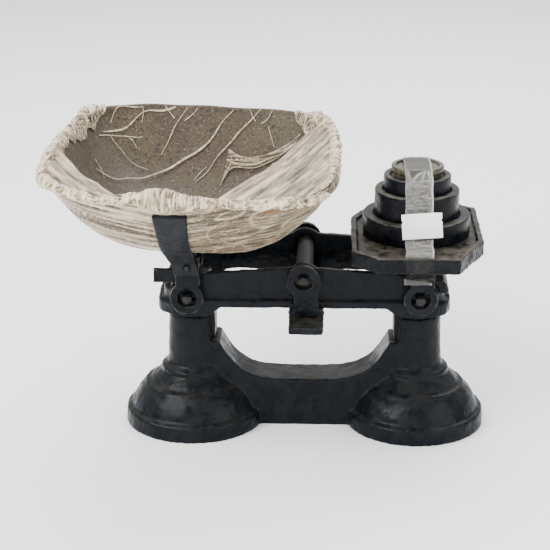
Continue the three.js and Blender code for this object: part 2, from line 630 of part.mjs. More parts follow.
function filmWrap() {
  const near = FILM_GAP;
  const far = FILM_GAP + FILM_THICK;
  const outside = panProfile(far, 0.38, 0.97, 5);
  const nearOutside = panProfile(near, 0.38, 0.97, 5).reverse();
  const insideFar = panProfile(-PAN_WALL - far, 0.86, 0.97, 1).reverse();
  const insideNear = panProfile(-PAN_WALL - near, 0.86, 0.97, 1);
  const over = overRim(BEAD_R + far);
  const under = overRim(BEAD_R + near).reverse();
  const loop = [...outside, ...over, ...insideFar, ...insideNear, ...under, ...nearOutside];
  return panShaped([...loop, loop[0]], PAN_SIDES);
}

function strap(side) {
  const half = STRAP_THICK / 2;
  const clearance = FILM_GAP + FILM_THICK + REST_GAP;
  const s0 = STRAP_FROM_Y / PAN_HALF_Y;
  const s1 = STRAP_TO_Y / PAN_HALF_Y;
  const under = panProfile(clearance + STRAP_THICK, s0, s1, 8);
  const upper = panProfile(clearance, s0, s1, 8).reverse();
  const face = RING_BACK_Y + RING_THICK + REST_GAP;
  const path = [[face, STRAP_FOOT_Z - PAN_Z], [face + STRAP_THICK, STRAP_FOOT_Z - PAN_Z]];
  path.push([face + STRAP_THICK, -6], ...under, ...upper, [face, 1 - half]);
  const outline = shapeOf(path.map(([y, z]) => [side * y, z + PAN_Z]));
  const geometry = plateYZ(outline, -0.5, 0.5);
  const position = geometry.attributes.position;
  for (let i = 0; i < position.count; i += 1) {
    const rise = (position.getZ(i) - STRAP_FOOT_Z) / (PAN_Z + panHeight(STRAP_TO_Y) - STRAP_FOOT_Z);
    const quick = Math.min(rise * 4, 1);
    const width = NECK_W + (STRAP_TOP_W - NECK_W) * rise;
    const centre = -ARM + 1 + (STRAP_TOP_SHIFT) * quick;
    position.setX(i, centre + position.getX(i) * width);
  }
  return solid(geometry).subtract(strapRivet(side, PIN_CLEARANCE));
}

function strapRivet(side, extra) {
  const face = RING_BACK_Y + RING_THICK + REST_GAP + STRAP_THICK;
  const depth = [side * (RING_BACK_Y - 1.5 - extra), side * (face + 1.5 + extra)].sort((a, b) => a - b);
  return rodY(-ARM + 1, RIVET_Z, RIVET_R + extra, ...depth, 20);
}

const tilted = new THREE.Group();
tilted.position.set(PAN_X, 0, PAN_Z);
tilted.rotation.y = THREE.MathUtils.degToRad(PAN_TILT);
scale.add(tilted);
add('goods_pan', pan(), tinned, tilted);
add('film_wrap', filmWrap(), film, tilted);
for (const [end, side] of [['front', -1], ['rear', 1]]) {
  add(`pan_strap_${end}`, strap(side), iron);
  add(`strap_rivet_${end}`, strapRivet(side, 0), steel);
}

// ---- weight plate ----
function plateOutline(inset) {
  const hx = PLATE_HALF_X - inset;
  const hy = PLATE_HALF_Y - inset;
  const trim = inset * 0.45;
  const [sx, sy] = [SHORT_CORNER[0] - trim, SHORT_CORNER[1] - trim];
  const [lx, ly] = [LONG_CORNER[0] - trim, LONG_CORNER[1] - trim];
  const half = [[-hx, -hy + sy], [-hx + sx, -hy], [hx - lx, -hy], [hx, -hy + ly]];
  const outline = [...half, ...half.map(([x, y]) => [-x, -y])];
  return shapeOf(outline.map(([x, y]) => [x + PLATE_X, y]));
}

function weightPlate() {
  const block = solid(plateXY(plateOutline(0), PLATE_BOTTOM_Z, PLATE_TOP_Z));
  const recess = solid(plateXY(plateOutline(PLATE_RIM), PLATE_FLOOR_Z, PLATE_TOP_Z + 1));
  const head = rodZ(ARM, 0, 2 * SCREW_R + PIN_CLEARANCE, PLATE_FLOOR_Z - SCREW_R, PLATE_FLOOR_Z + 1);
  return block.subtract(recess).subtract(screwHole).subtract(head);
}

function plateScrew() {
  const headTop = PLATE_FLOOR_Z - 0.2;
  const headBottom = PLATE_FLOOR_Z - SCREW_R + REST_GAP;
  const slot = box(ARM - 3 * SCREW_R, ARM + 3 * SCREW_R, -0.6, 0.6, headTop - 1.2, headTop + 1);
  const head = rodZ(ARM, 0, 2 * SCREW_R, headBottom, headTop).subtract(slot);
  return head.add(rodZ(ARM, 0, SCREW_R, SOCKET_TOP_Z + 1.5, headBottom + 0.5));
}

add('weight_plate', weightPlate(), iron);
add('plate_screw', plateScrew(), steel);

// ---- weights: each has a raised rim, and the next one stands inside it ----
function weightTop(index) {
  return PLATE_FLOOR_Z + WEIGHTS.slice(0, index + 1).reduce((sum, weight) => sum + weight.rise, 0);
}

function weightProfile(index) {
  const { r } = WEIGHTS[index];
  const top = weightTop(index);
  const seat = index === 0 ? PLATE_FLOOR_Z : weightTop(index - 1) - RECESS;
  const bottom = seat + REST_GAP;
  const next = WEIGHTS[index + 1];
  const recess = next ? next.r + RECESS_CLEARANCE : r - 4.5;
  const lip = next ? r : r - 1.6;
  const profile = [[0, bottom], [lip - 1.2, bottom], [lip - 0.3, bottom + 1.2]];
  if (!next) {
    profile.push([lip, top - 6.5], [r, top - 5]);
  }
  profile.push([r, top - 0.9], [r - 0.9, top], [recess + 0.3, top], [recess, top - 0.4]);
  profile.push([recess, top - RECESS], [0, top - RECESS]);
  return profile;
}

WEIGHTS.forEach(({ name }, index) => {
  const finish = index === WEIGHTS.length - 1 ? brass : iron;
  add(name, turned(weightProfile(index), WEIGHT_SIDES, WEIGHT_X), finish);
});

// ---- tape over the weights, and the blank tag on it ----
// a ribbon in the y-z plane: the points of its path, thickened by its normal
function ribbon(path) {
  const above = [];
  const below = [];
  path.forEach(([y, z], i) => {
    const before = path[Math.max(i - 1, 0)];
    const after = path[Math.min(i + 1, path.length - 1)];
    const length = Math.hypot(after[0] - before[0], after[1] - before[1]);
    const normal = [-(after[1] - before[1]) / length, (after[0] - before[0]) / length];
    above.push([y - normal[0] * TAPE_THICK, z - normal[1] * TAPE_THICK]);
    below.push([y, z]);
  });
  return plateYZ(shapeOf([...above, ...below.reverse()]), WEIGHT_X - TAPE_W / 2, WEIGHT_X + TAPE_W / 2);
}

const [w1, w2, w3, w4] = WEIGHTS;
const [top1, top2, top3, top4] = WEIGHTS.map((_, index) => weightTop(index));
const upperTape = [[w4.r - 4, top4 + TAPE_GAP], [-w4.r, top4 + TAPE_GAP], [-w4.r - TAPE_GAP, top4 - 1]];
upperTape.push([-w3.r - TAPE_GAP, top3 - 0.2], [-w2.r - TAPE_GAP, top2 - 0.2]);
upperTape.push([-w1.r - TAPE_GAP, top1 - 0.2]);
upperTape.push([-w1.r - TAPE_GAP - 0.3, top1 - 8]);
add('tape_upper', ribbon(upperTape), film);
const plateEdge = -PLATE_HALF_Y - TAPE_GAP;
const neckFace = -RING_BACK_Y - RING_THICK - TAPE_GAP;
const lowerTape = [[-w1.r - 3, top1 - 10], [-PLATE_HALF_Y + 4, PLATE_TOP_Z + TAPE_GAP]];
lowerTape.push([plateEdge, PLATE_TOP_Z + TAPE_GAP], [plateEdge, PLATE_BOTTOM_Z - TAPE_GAP]);
lowerTape.push([neckFace, KNIFE_Z + 16], [neckFace, KNIFE_Z + 7]);
add('tape_lower', ribbon(lowerTape), film);

const tag = new THREE.BoxGeometry(TAG_W, 0.6, TAG_H);
tag.rotateY(THREE.MathUtils.degToRad(-4));
tag.translate(WEIGHT_X + 2.5, -w1.r - TAG_GAP, top1 + 3.4);
add('blank_tag', tag, paper);

export default scale;
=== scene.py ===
import math

import bmesh
import bpy
import numpy as np
from mathutils import Matrix, Vector


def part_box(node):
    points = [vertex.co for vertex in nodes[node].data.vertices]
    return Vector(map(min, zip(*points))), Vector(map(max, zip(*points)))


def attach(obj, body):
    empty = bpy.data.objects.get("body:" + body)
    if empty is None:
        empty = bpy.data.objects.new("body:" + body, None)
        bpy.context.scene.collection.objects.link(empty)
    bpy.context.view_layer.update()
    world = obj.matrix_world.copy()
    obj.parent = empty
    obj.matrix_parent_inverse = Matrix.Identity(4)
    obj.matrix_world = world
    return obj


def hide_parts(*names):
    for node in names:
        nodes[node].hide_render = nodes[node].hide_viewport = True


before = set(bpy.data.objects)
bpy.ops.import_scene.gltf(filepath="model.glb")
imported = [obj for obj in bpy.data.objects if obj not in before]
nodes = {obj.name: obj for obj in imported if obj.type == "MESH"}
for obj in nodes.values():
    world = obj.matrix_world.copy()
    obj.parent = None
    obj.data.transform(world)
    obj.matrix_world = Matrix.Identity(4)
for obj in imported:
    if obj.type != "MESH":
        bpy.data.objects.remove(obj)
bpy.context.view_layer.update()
scene = bpy.context.scene

# ---- Camera ----
# A long lens a metre and a half in front of the scale and a little above it, rolled by a hair so that the
# scale stands upright.
CAMERA_PLACE = (0.0234, -1.4513, 0.6623)
CAMERA_TARGET = (-0.02775, 0.0, 0.1438)
CAMERA_LENS = 108.0
CAMERA_ROLL = math.radians(-0.14)

camera_data = bpy.data.cameras.new("camera")
camera_data.lens = CAMERA_LENS
camera_data.sensor_width = 36.0
camera_data.clip_start = 0.05
camera = bpy.data.objects.new("camera", camera_data)
scene.collection.objects.link(camera)
camera.location = CAMERA_PLACE
gaze = Vector(CAMERA_TARGET) - Vector(CAMERA_PLACE)
camera.rotation_mode = "QUATERNION"
roll = Matrix.Rotation(CAMERA_ROLL, 3, "Z").to_quaternion()
camera.rotation_quaternion = gaze.to_track_quat("-Z", "Y") @ roll
scene.camera = camera

# ---- Studio: floor and lights ----
# A pale seamless floor in a bright even room. One broad soft light stands high on the left, one on the right,
# one low in front and one high behind.
LIGHTS = {
    "window_left": {"place": (-1.3, -1.0, 1.5), "size": 1.4, "power": 76.0},
    "fill_right": {"place": (1.5, -1.1, 0.9), "size": 1.6, "power": 26.0},
    "front_low": {"place": (-0.2, -2.2, 0.5), "size": 1.6, "power": 16.0},
    "top_back": {"place": (0.2, 1.2, 1.8), "size": 1.8, "power": 54.0},
}
LIGHT_TARGET = Vector((0.0, 0.0, 0.12))
FLOOR_HALF = 6.0
ROOM_COLOUR = (0.95, 0.97, 1.0, 1.0)
ROOM_STRENGTH = 1.15


def add_node(tree, kind, inputs=(), **settings):
    """Adds a shader node. inputs maps a socket's name or number to a value or to another node's output."""
    made = tree.nodes.new(kind)
    for name, value in settings.items():
        setattr(made, name, value)
    for socket, value in dict(inputs).items():
        if isinstance(value, bpy.types.NodeSocket):
            tree.links.new(value, made.inputs[socket])
        else:
            made.inputs[socket].default_value = value
    return made


def new_material(name, **constants):
    """A Principled material, its node tree and its shader. constants are plain values for the shader's own
    sockets, with _ for each space in a socket's name."""
    material = bpy.data.materials.new(name)
    material.use_nodes = True
    tree = material.node_tree
    shader = tree.nodes["Principled BSDF"]
    for socket, value in constants.items():
        shader.inputs[socket.replace("_", " ")].default_value = value
    return material, tree, shader


def feed(tree, shader, **sockets):
    """Links outputs to the shader's sockets, with _ for each space in a socket's name."""
    for socket, output in sockets.items():
        tree.links.new(output, shader.inputs[socket.replace("_", " ")])


def noise(tree, scale, detail, vector=None, **more):
    """A noise texture's value at a vector, or on the piece's own coordinates where none is given."""
    if vector is None:
        vector = add_node(tree, "ShaderNodeTexCoord").outputs["Object"]
    inputs = {"Vector": vector, "Scale": scale, "Detail": detail, **more}
    return add_node(tree, "ShaderNodeTexNoise", inputs).outputs["Fac"]


def blend_colour(tree, mask, below, above):
    """The colour below where the mask is 0, above where it is 1. Each is a socket or (red, green, blue)."""
    below, above = [(*c, 1.0) if isinstance(c, tuple) else c for c in (below, above)]
    return add_node(tree, "ShaderNodeMix", {0: mask, 6: below, 7: above}, data_type="RGBA").outputs[2]


floor_material, floor_tree, floor_shader = new_material("pale_floor", Roughness=0.9)
floor_tone = noise(floor_tree, 3.0, 4.0)
floor_colour = blend_colour(floor_tree, floor_tone, (0.93, 0.93, 0.93), (0.96, 0.96, 0.96))
feed(floor_tree, floor_shader, Base_Color=floor_colour)
floor_mesh = bpy.data.meshes.new("floor")
corners = [(-FLOOR_HALF, -FLOOR_HALF, 0), (FLOOR_HALF, -FLOOR_HALF, 0), (FLOOR_HALF, FLOOR_HALF, 0)]
floor_mesh.from_pydata([*corners, (-FLOOR_HALF, FLOOR_HALF, 0)], [], [(0, 1, 2, 3)])
floor = bpy.data.objects.new("floor", floor_mesh)
floor.data.materials.append(floor_material)
scene.collection.objects.link(floor)

for light_name, light in LIGHTS.items():
    area = bpy.data.lights.new(light_name, "AREA")
    area.shape = "SQUARE"
    area.size = light["size"]
    area.energy = light["power"]
    lamp = bpy.data.objects.new(light_name, area)
    lamp.location = light["place"]
    lamp.rotation_mode = "QUATERNION"
    lamp.rotation_quaternion = (LIGHT_TARGET - Vector(light["place"])).to_track_quat("-Z", "Y")
    scene.collection.objects.link(lamp)

world = bpy.data.worlds.new("studio")
world.use_nodes = True
room = world.node_tree.nodes["Background"].inputs
room["Color"].default_value = ROOM_COLOUR
room["Strength"].default_value = ROOM_STRENGTH
scene.world = world

# ---- Base casting ----
# Two bell-shaped feet with pillars and a hollow bridge between them, cast in one piece of grey iron.
# It is brushed with thick blue-black paint, which has run, filled the corners and gathered dust on top.
FOOT_RADIUS = 0.066
FOOT_PROFILE = [  # radius and height in mm, from the rim on the ground up to the top of the pillar
    (66.0, 0.0), (65.9, 4.0), (65.6, 9.0), (65.2, 13.2), (64.4, 15.0), (62.6, 15.8), (60.2, 16.2),
    (59.6, 18.4), (57.8, 23.0), (55.2, 28.0), (51.9, 32.6), (48.4, 36.4), (46.6, 38.4), (46.2, 39.8),
    (42.6, 40.4), (41.2, 41.8), (39.2, 44.2), (36.0, 47.2), (33.0, 49.8), (30.6, 51.2), (31.2, 52.4),
    (31.6, 54.4), (30.6, 56.2), (27.4, 57.4), (25.8, 59.2), (25.0, 61.0), (24.5, 65.0), (24.0, 75.0),
    (23.5, 90.0), (23.1, 106.0), (22.3, 109.0),
]
HOLLOW_PROFILE = [  # the same for the hollow inside, which starts just under the ground
    (60.0, -1.0), (60.0, 4.0), (57.5, 12.0), (54.0, 21.0), (47.0, 30.5), (39.0, 38.0),
    (30.0, 44.8), (22.0, 50.5), (18.0, 60.0), (17.0, 75.0), (17.0, 110.0),
]
WALL = 0.006
BRIDGE_HALF = 0.020
BRIDGE_MIDDLE = 0.0466
BRIDGE_POWER = 4.5
HORN_IN = 0.025  # the hollowed top meets the shoulder this far inside the pillar's axis
SHOULDER = 0.084
NOTCH_HALF = 0.015
NOTCH_IN = (0.0085, 0.028)  # how far inside the pillar's axis it starts and ends
RIB = (0.008, 0.012)  # half its width, and its height
LUG = (0.007, 0.004, 0.009, 0.033)  # half its width, its near and far sides from the middle, and its top
PIN_HOLE = (0.0028, 0.026)  # radius, and height of its axis
CUT = 0.001  # a cutting solid reaches this far past the face that it opens
ROUND = 96

base_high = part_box("base_casting")[1]
pillar_x = base_high.x - FOOT_RADIUS
pillar_top = base_high.z


def object_from(name, vertices, faces, **fields):
    """A mesh object in the scene from arrays or lists of vertices and faces, with its normals made to point
    out. fields are values or vectors for each vertex, kept as attributes that a material can read."""
    mesh = bpy.data.meshes.new(name)
    mesh.from_pydata(np.asarray(vertices).tolist(), [], faces)
    for field, values in fields.items():
        vector = np.size(values) == 3 * len(mesh.vertices)
        layer = mesh.attributes.new(field, "FLOAT_VECTOR" if vector else "FLOAT", "POINT")
        layer.data.foreach_set("vector" if vector else "value", np.asarray(values, np.float32).ravel())
    work = bmesh.new()
    work.from_mesh(mesh)
    bmesh.ops.remove_doubles(work, verts=work.verts, dist=1e-7)
    bmesh.ops.dissolve_degenerate(work, edges=work.edges, dist=1e-8)
    bmesh.ops.recalc_face_normals(work, faces=work.faces)
    work.to_mesh(mesh)
    work.free()
    made = bpy.data.objects.new(name, mesh)
    scene.collection.objects.link(made)
    return made


def grid_object(name, points, closed=(False, True), **fields):
    """A surface through the grid points[i, j]: each point is joined to its neighbours in i and in j.
    closed says whether the last row joins the first, and whether the last column joins the first."""
    rows, columns = points.shape[:2]
    index = np.arange(rows * columns).reshape(rows, columns)
    if closed[0]:
        index = np.vstack([index, index[:1]])
    if closed[1]:
        index = np.hstack([index, index[:, :1]])
    corners = [index[:-1, :-1], index[:-1, 1:], index[1:, 1:], index[1:, :-1]]
    quads = np.stack(corners, axis=-1).reshape(-1, 4)
    return object_from(name, points.reshape(-1, 3), quads.tolist(), **fields)


def turned(name, profile, centre=(0.0, 0.0), sides=ROUND):
    """A solid of revolution about a vertical axis: each (radius, height) of the profile, closed at the axis,
    goes round to x = radius cos a + centre x, y = radius sin a + centre y."""
    profile = np.asarray(profile, float)
    profile = np.vstack([[0.0, profile[0, 1]], profile, [0.0, profile[-1, 1]]])
    angle = np.linspace(0, 2 * np.pi, sides, endpoint=False)
    x = profile[:, :1] * np.cos(angle) + centre[0]
    y = profile[:, :1] * np.sin(angle) + centre[1]
    z = np.repeat(profile[:, 1:], sides, axis=1)
    return grid_object(name, np.stack([x, y, z], axis=-1))


def block(name, low, high):
    """A box between two corners."""
    ends = np.array([low, high], float)
    picks = np.array([[0, 0, 0], [1, 0, 0], [1, 1, 0], [0, 1, 0], [0, 0, 1], [1, 0, 1], [1, 1, 1], [0, 1, 1]])
    vertices = np.take_along_axis(ends, picks, axis=0)
    faces = [(0, 3, 2, 1), (4, 5, 6, 7), (0, 1, 5, 4), (1, 2, 6, 5), (2, 3, 7, 6), (3, 0, 4, 7)]
    return object_from(name, vertices, faces)


def rod(name, start, end, radius, sides=32):
    """A cylinder from start to end: each end's circle is start or end + radius (u cos a + v sin a)."""
    start, end = np.array(start, float), np.array(end, float)
    along = (end - start) / np.linalg.norm(end - start)
    across = np.cross(along, (0.3, 0.5, 0.81))
    across /= np.linalg.norm(across)
    up = np.cross(along, across)
    angle = np.linspace(0, 2 * np.pi, sides, endpoint=False)[:, None]
    circle = radius * (across * np.cos(angle) + up * np.sin(angle))
    middles = [np.repeat(point[None], sides, 0) for point in (start, end)]
    return grid_object(name, np.stack([middles[0], start + circle, end + circle, middles[1]]))


def drawn(name, outline, y_low, y_high):
    """A prism: an outline of (x, z) points carried straight from y_low to y_high."""
    count = len(outline)
    both = [np.insert(outline, 1, y, axis=1) for y in (y_low, y_high)]
    ring = np.arange(count)
    after = np.roll(ring, -1)
    sides = np.stack([ring, after, after + count, ring + count], axis=-1).tolist()
    faces = sides + [list(range(count)), list(range(2 * count - 1, count - 1, -1))]
    return object_from(name, np.vstack(both), faces)


def bridge_solid(name, half_length, drop, bottom, half_width):
    """The bridge: its top lies at middle + (shoulder - middle) (x / horn) ** power, lowered by drop, and its
    outline in x and z is carried straight from -half_width to half_width in y."""
    horn = pillar_x - HORN_IN + drop
    x = horn * np.cos(np.linspace(0, np.pi, 65))
    top = BRIDGE_MIDDLE + (SHOULDER - BRIDGE_MIDDLE) * np.abs(x / (pillar_x - HORN_IN)) ** BRIDGE_POWER
    top = np.minimum(top, SHOULDER) - drop
    ends = [[-half_length, SHOULDER - drop], [-half_length, bottom], [half_length, bottom]]
    outline = np.vstack([np.stack([x, top], -1), ends, [[half_length, SHOULDER - drop]]])
    return drawn(name, outline, -half_width, half_width)


def apply_modifiers(piece):
    """Replaces the object's mesh by the one that its modifiers give, and clears them."""
    graph = bpy.context.evaluated_depsgraph_get()
    mesh = bpy.data.meshes.new_from_object(piece.evaluated_get(graph))
    piece.modifiers.clear()
    piece.data = mesh


def combine(piece, others, operation):
    """Joins the others to the piece (UNION) or cuts them out of it (DIFFERENCE), and removes them."""
    for other in others:
        step = piece.modifiers.new("step", "BOOLEAN")
        step.operation = operation
        step.solver = "MANIFOLD"
        step.object = other
        apply_modifiers(piece)
        bpy.data.objects.remove(other)
    return piece


def wave_set(seed, count, axes, longest, shortest):
    """Lengths from longest to shortest, directions, and phases in turns, of count random waves."""
    draw = np.random.default_rng(seed)
    length = longest * (shortest / longest) ** draw.random(count)
    direction = draw.normal(size=(count, axes))
    direction /= np.linalg.norm(direction, axis=1, keepdims=True)
    return length, direction, draw.random(count)


def waves(points, seed, count, longest, shortest):
    """A smooth random field: the sum of count sine waves in random directions, sin(k . p + phase), times
    sqrt(2 / count). It is near 0 on average and of size about 1."""
    length, direction, phase = wave_set(seed, count, points.shape[-1], longest, shortest)
    field = np.zeros(points.shape[:-1])
    for k, d, p in zip(2 * np.pi / length, direction, phase * 2 * np.pi):
        field += np.sin(points @ d * k + p)
    return field * math.sqrt(2.0 / count)


def cast_skin(piece, voxel, melt, lump, seed=1, floor_height=None):
    """Gives a solid the skin of a painted casting: an even fine mesh, corners melted by melt rounds of
    smoothing, and each point moved along its normal by lump metres times a field of broad and fine waves."""
    remesh = piece.modifiers.new("even", "REMESH")
    remesh.mode = "VOXEL"
    remesh.voxel_size = voxel
    smooth = piece.modifiers.new("melt", "SMOOTH")
    smooth.factor = 0.5
    smooth.iterations = melt
    apply_modifiers(piece)
    mesh = piece.data
    place = np.empty(len(mesh.vertices) * 3)
    normal = np.empty_like(place)
    mesh.vertices.foreach_get("co", place)
    mesh.vertex_normals.foreach_get("vector", normal)
    place = place.reshape(-1, 3)
    broad = waves(place, seed, 26, 0.030, 0.011)
    fine = waves(place, seed + 100, 30, 0.009, 0.0035)
    place += normal.reshape(-1, 3) * (lump * (0.65 * broad + 0.35 * fine))[:, None]
    if floor_height is not None:
        place[:, 2] = np.maximum(place[:, 2], floor_height)
    mesh.vertices.foreach_set("co", place.ravel())
    mesh.materials.clear()
    mesh.shade_smooth()
    mesh.update()
    return piece


def mm(profile):
    """A list of points in millimetres as an array in metres."""
    return np.asarray(profile, float) / 1000.0


def ramp(tree, value, low, high, start=0.0, end=1.0, smooth=False):
    """A value that goes from start to end while the given one goes from low to high, and stays between."""
    inputs = {"Value": value, "From Min": low, "From Max": high, "To Min": start, "To Max": end}
    kind = "SMOOTHSTEP" if smooth else "LINEAR"
    return add_node(tree, "ShaderNodeMapRange", inputs, interpolation_type=kind).outputs[0]


def arithmetic(tree, operation, *values, **settings):
    """A Math node's result from two or three values or sockets."""
    inputs = dict(enumerate(values))
    return add_node(tree, "ShaderNodeMath", inputs, operation=operation, **settings).outputs[0]


def facing_up(tree):
    """How far the surface faces up: 1 on top, 0 on a wall and -1 underneath."""
    facing = add_node(tree, "ShaderNodeTexCoord").outputs["Normal"]
    return add_node(tree, "ShaderNodeSeparateXYZ", {0: facing}).outputs["Z"]


def new_group(name, inputs, outputs):
    """A shader node group with value sockets of these names, and the sockets to read and fill inside it."""
    group = bpy.data.node_groups.new(name, "ShaderNodeTree")
    for names, way in ((inputs, "INPUT"), (outputs, "OUTPUT")):
        for socket in names:
            group.interface.new_socket(socket, in_out=way, socket_type="NodeSocketFloat")
    return group, group.nodes.new("NodeGroupInput").outputs, group.nodes.new("NodeGroupOutput").inputs


def place_group(tree, group, **values):
    """Puts a node group into a material with its own values, and returns its outputs."""
    made = tree.nodes.new("ShaderNodeGroup")
    made.node_tree = group
    for socket, value in values.items():
        made.inputs[socket].default_value = value
    return made.outputs


# settled dust: a mask that is full where the surface faces up, broken up by noise
dust_group, dust_in, dust_out = new_group("settled_dust", ["Amount", "Scale", "Steepest"], ["Mask"])
dust_up = ramp(dust_group, facing_up(dust_group), dust_in["Steepest"], 0.97, smooth=True)
dust_noise = noise(dust_group, dust_in["Scale"], 8.0, Roughness=0.66)
dust_patch = ramp(dust_group, dust_noise, 0.34, 0.62, smooth=True)
dust_here = arithmetic(dust_group, "MULTIPLY", dust_up, dust_patch)
dust_group.links.new(arithmetic(dust_group, "MULTIPLY", dust_here, dust_in["Amount"]), dust_out["Mask"])

# rubbed edges: a mask of the ridges, where paint and patina are worn through
edge_group, edge_in, edge_out = new_group("rubbed_edges", ["Amount", "Ridge", "Scale"], ["Mask"])
edge_shape = add_node(edge_group, "ShaderNodeNewGeometry").outputs["Pointiness"]
edge_limit = arithmetic(edge_group, "ADD", edge_in["Ridge"], 0.05)
edge_ridge = ramp(edge_group, edge_shape, edge_in["Ridge"], edge_limit, smooth=True)
edge_patch = ramp(edge_group, noise(edge_group, edge_in["Scale"], 6.0), 0.35, 0.6)
edge_here = arithmetic(edge_group, "MULTIPLY", edge_ridge, edge_patch)
edge_group.links.new(arithmetic(edge_group, "MULTIPLY", edge_here, edge_in["Amount"]), edge_out["Mask"])

# brushed lumps: a height of soft swells with fine pits, and the swells alone as a tone
lump_group, lump_in, lump_out = new_group("brushed_lumps", ["Swell", "Pit"], ["Height", "Tone"])
lump_swell = noise(lump_group, lump_in["Swell"], 4.0, Distortion=0.6)
lump_pit = noise(lump_group, lump_in["Pit"], 6.0, Roughness=0.7)
lump_height = arithmetic(lump_group, "MULTIPLY_ADD", lump_pit, 0.3, lump_swell)
lump_group.links.new(lump_height, lump_out["Height"])
lump_group.links.new(lump_swell, lump_out["Tone"])

# fine specks: a mask of small grains scattered over the surface
speck_group, speck_in, speck_out = new_group("fine_specks", ["Scale", "Amount"], ["Mask"])
speck_noise = noise(speck_group, speck_in["Scale"], 5.0, Roughness=0.8)
speck_level = arithmetic(speck_group, "SUBTRACT", 0.72, speck_in["Amount"])
speck_limit = arithmetic(speck_group, "ADD", speck_level, 0.06)
speck_group.links.new(ramp(speck_group, speck_noise, speck_level, speck_limit), speck_out["Mask"])


def add_bump(tree, shader, height, strength, distance):
    """Bends the shader's normal by a height field."""
    bump = add_node(tree, "ShaderNodeBump", {"Height": height, "Strength": strength, "Distance": distance})
    feed(tree, shader, Normal=bump.outputs["Normal"])


def iron_paint(
    name, dark, light, dust, dust_amount, wear, wear_amount, ridge, rust_amount, rough=(0.20, 0.42)
):
    """Old brushed paint on iron: two tones of paint, rust blooms, rubbed edges and settled dust on top."""
    material, tree, shader = new_material(name, Metallic=0.0, Specular_IOR_Level=0.09)
    lumps = place_group(tree, lump_group, Swell=85.0, Pit=620.0)
    tone = ramp(tree, lumps["Tone"], 0.36, 0.66)
    colour = blend_colour(tree, tone, dark, light)
    spots = place_group(tree, speck_group, Scale=160.0, Amount=rust_amount)
    colour = blend_colour(tree, spots["Mask"], colour, (0.075, 0.040, 0.022))
    edges = place_group(tree, edge_group, Amount=wear_amount, Ridge=ridge, Scale=120.0)
    colour = blend_colour(tree, edges["Mask"], colour, wear)
    dusty = place_group(tree, dust_group, Amount=dust_amount, Scale=70.0, Steepest=0.45)["Mask"]
    colour = blend_colour(tree, dusty, colour, dust)
    matt = arithmetic(tree, "MULTIPLY_ADD", dusty, 0.35, ramp(tree, tone, 0.0, 1.0, *rough))
    feed(tree, shader, Base_Color=colour, Roughness=matt)
    add_bump(tree, shader, lumps["Height"], 0.5, 0.0007)
    return material


base_paint = iron_paint(
    "slate_paint",
    dark=(0.0026, 0.0036, 0.0050),
    light=(0.0054, 0.0070, 0.0092),
    dust=(0.036, 0.033, 0.026),
    dust_amount=0.42,
    wear=(0.050, 0.048, 0.042),
    wear_amount=0.55,
    ridge=0.535,
    rust_amount=0.02,
)

feet = [turned(f"foot_{s}", mm(FOOT_PROFILE), (s * pillar_x, 0.0)) for s in (-1, 1)]
base = combine(bridge_solid("base", pillar_x, 0.0, 0.0, BRIDGE_HALF), feet, "UNION")
hollows = [turned(f"hollow_{s}", mm(HOLLOW_PROFILE), (s * pillar_x, 0.0)) for s in (-1, 1)]
hollows.append(bridge_solid("bridge_hollow", pillar_x, WALL, -CUT, BRIDGE_HALF - WALL))
inside = BRIDGE_HALF - WALL + CUT
ribs = [block("rib", (-RIB[0], -inside, 0.0), (RIB[0], inside, RIB[1]))]
for side in (-1, 1):
    notch_x = sorted(side * (pillar_x - reach) for reach in NOTCH_IN)
    notch_ends = [(notch_x[0], -NOTCH_HALF, SHOULDER), (notch_x[1], NOTCH_HALF, pillar_top + 2 * CUT)]
    hollows.append(block("notch", *notch_ends))
    lug_y = sorted((side * LUG[1], side * LUG[2]))
    ribs.append(block("lug", (-LUG[0], lug_y[0], RIB[1] - CUT), (LUG[0], lug_y[1], LUG[3])))
combine(base, hollows, "DIFFERENCE")
combine(base, ribs, "UNION")
combine(base, [rod("hole", (0, -inside, PIN_HOLE[1]), (0, inside, PIN_HOLE[1]), PIN_HOLE[0])], "DIFFERENCE")
base.name = "painted_base"
cast_skin(base, voxel=0.00146, melt=2, lump=0.00018, seed=3, floor_height=0.0)
base.data.materials.append(base_paint)
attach(base, "base")
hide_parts("base_casting")

# ---- Fulcrum: rail, saddle, rings and their fastenings ----
# A cast rail joins the two pillars between the beam's sides and carries the saddle bar, bolted up under it.
# The saddle's ends hold the two forged rings that the centre knives rest in.


def cast_copy(name, node, body, voxel, lump, material, seed, melt=2):
    """A painted casting in the place and shape of a part of the frame, with melted corners and lumps."""
    piece = bpy.data.objects.new(name, nodes[node].data.copy())
    scene.collection.objects.link(piece)
    work = bmesh.new()
    work.from_mesh(piece.data)
    bmesh.ops.remove_doubles(work, verts=work.verts, dist=2e-6)
    work.to_mesh(piece.data)
    work.free()
    cast_skin(piece, voxel, melt, lump, seed)
    piece.data.materials.append(material)
    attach(piece, body)
    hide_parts(node)


def cast_pair(name, node, body, voxel, lump, material, seed):
    """The front and the rear one of a pair of castings, the rear one with the next seed."""
    for turn, place in enumerate(("front", "rear")):
        cast_copy(f"{name}_{place}", f"{node}_{place}", body, voxel, lump, material, seed + turn)


fitting_paint = iron_paint(
    "fitting_paint",
    dark=(0.0022, 0.0030, 0.0042),
    light=(0.0064, 0.0080, 0.0100),
    dust=(0.052, 0.047, 0.037),
    dust_amount=0.60,
    wear=(0.120, 0.112, 0.098),
    wear_amount=0.75,
    ridge=0.525,
    rust_amount=0.03,
)
cast_copy("cast_rail", "fulcrum_rail", "base", 0.0010, 0.00025, fitting_paint, 11)
cast_copy("saddle_bar", "fulcrum_saddle", "base", 0.0009, 0.00030, fitting_paint, 12)
cast_pair("forged_ring", "fulcrum_ring", "base", 0.0006, 0.00018, fitting_paint, 13)


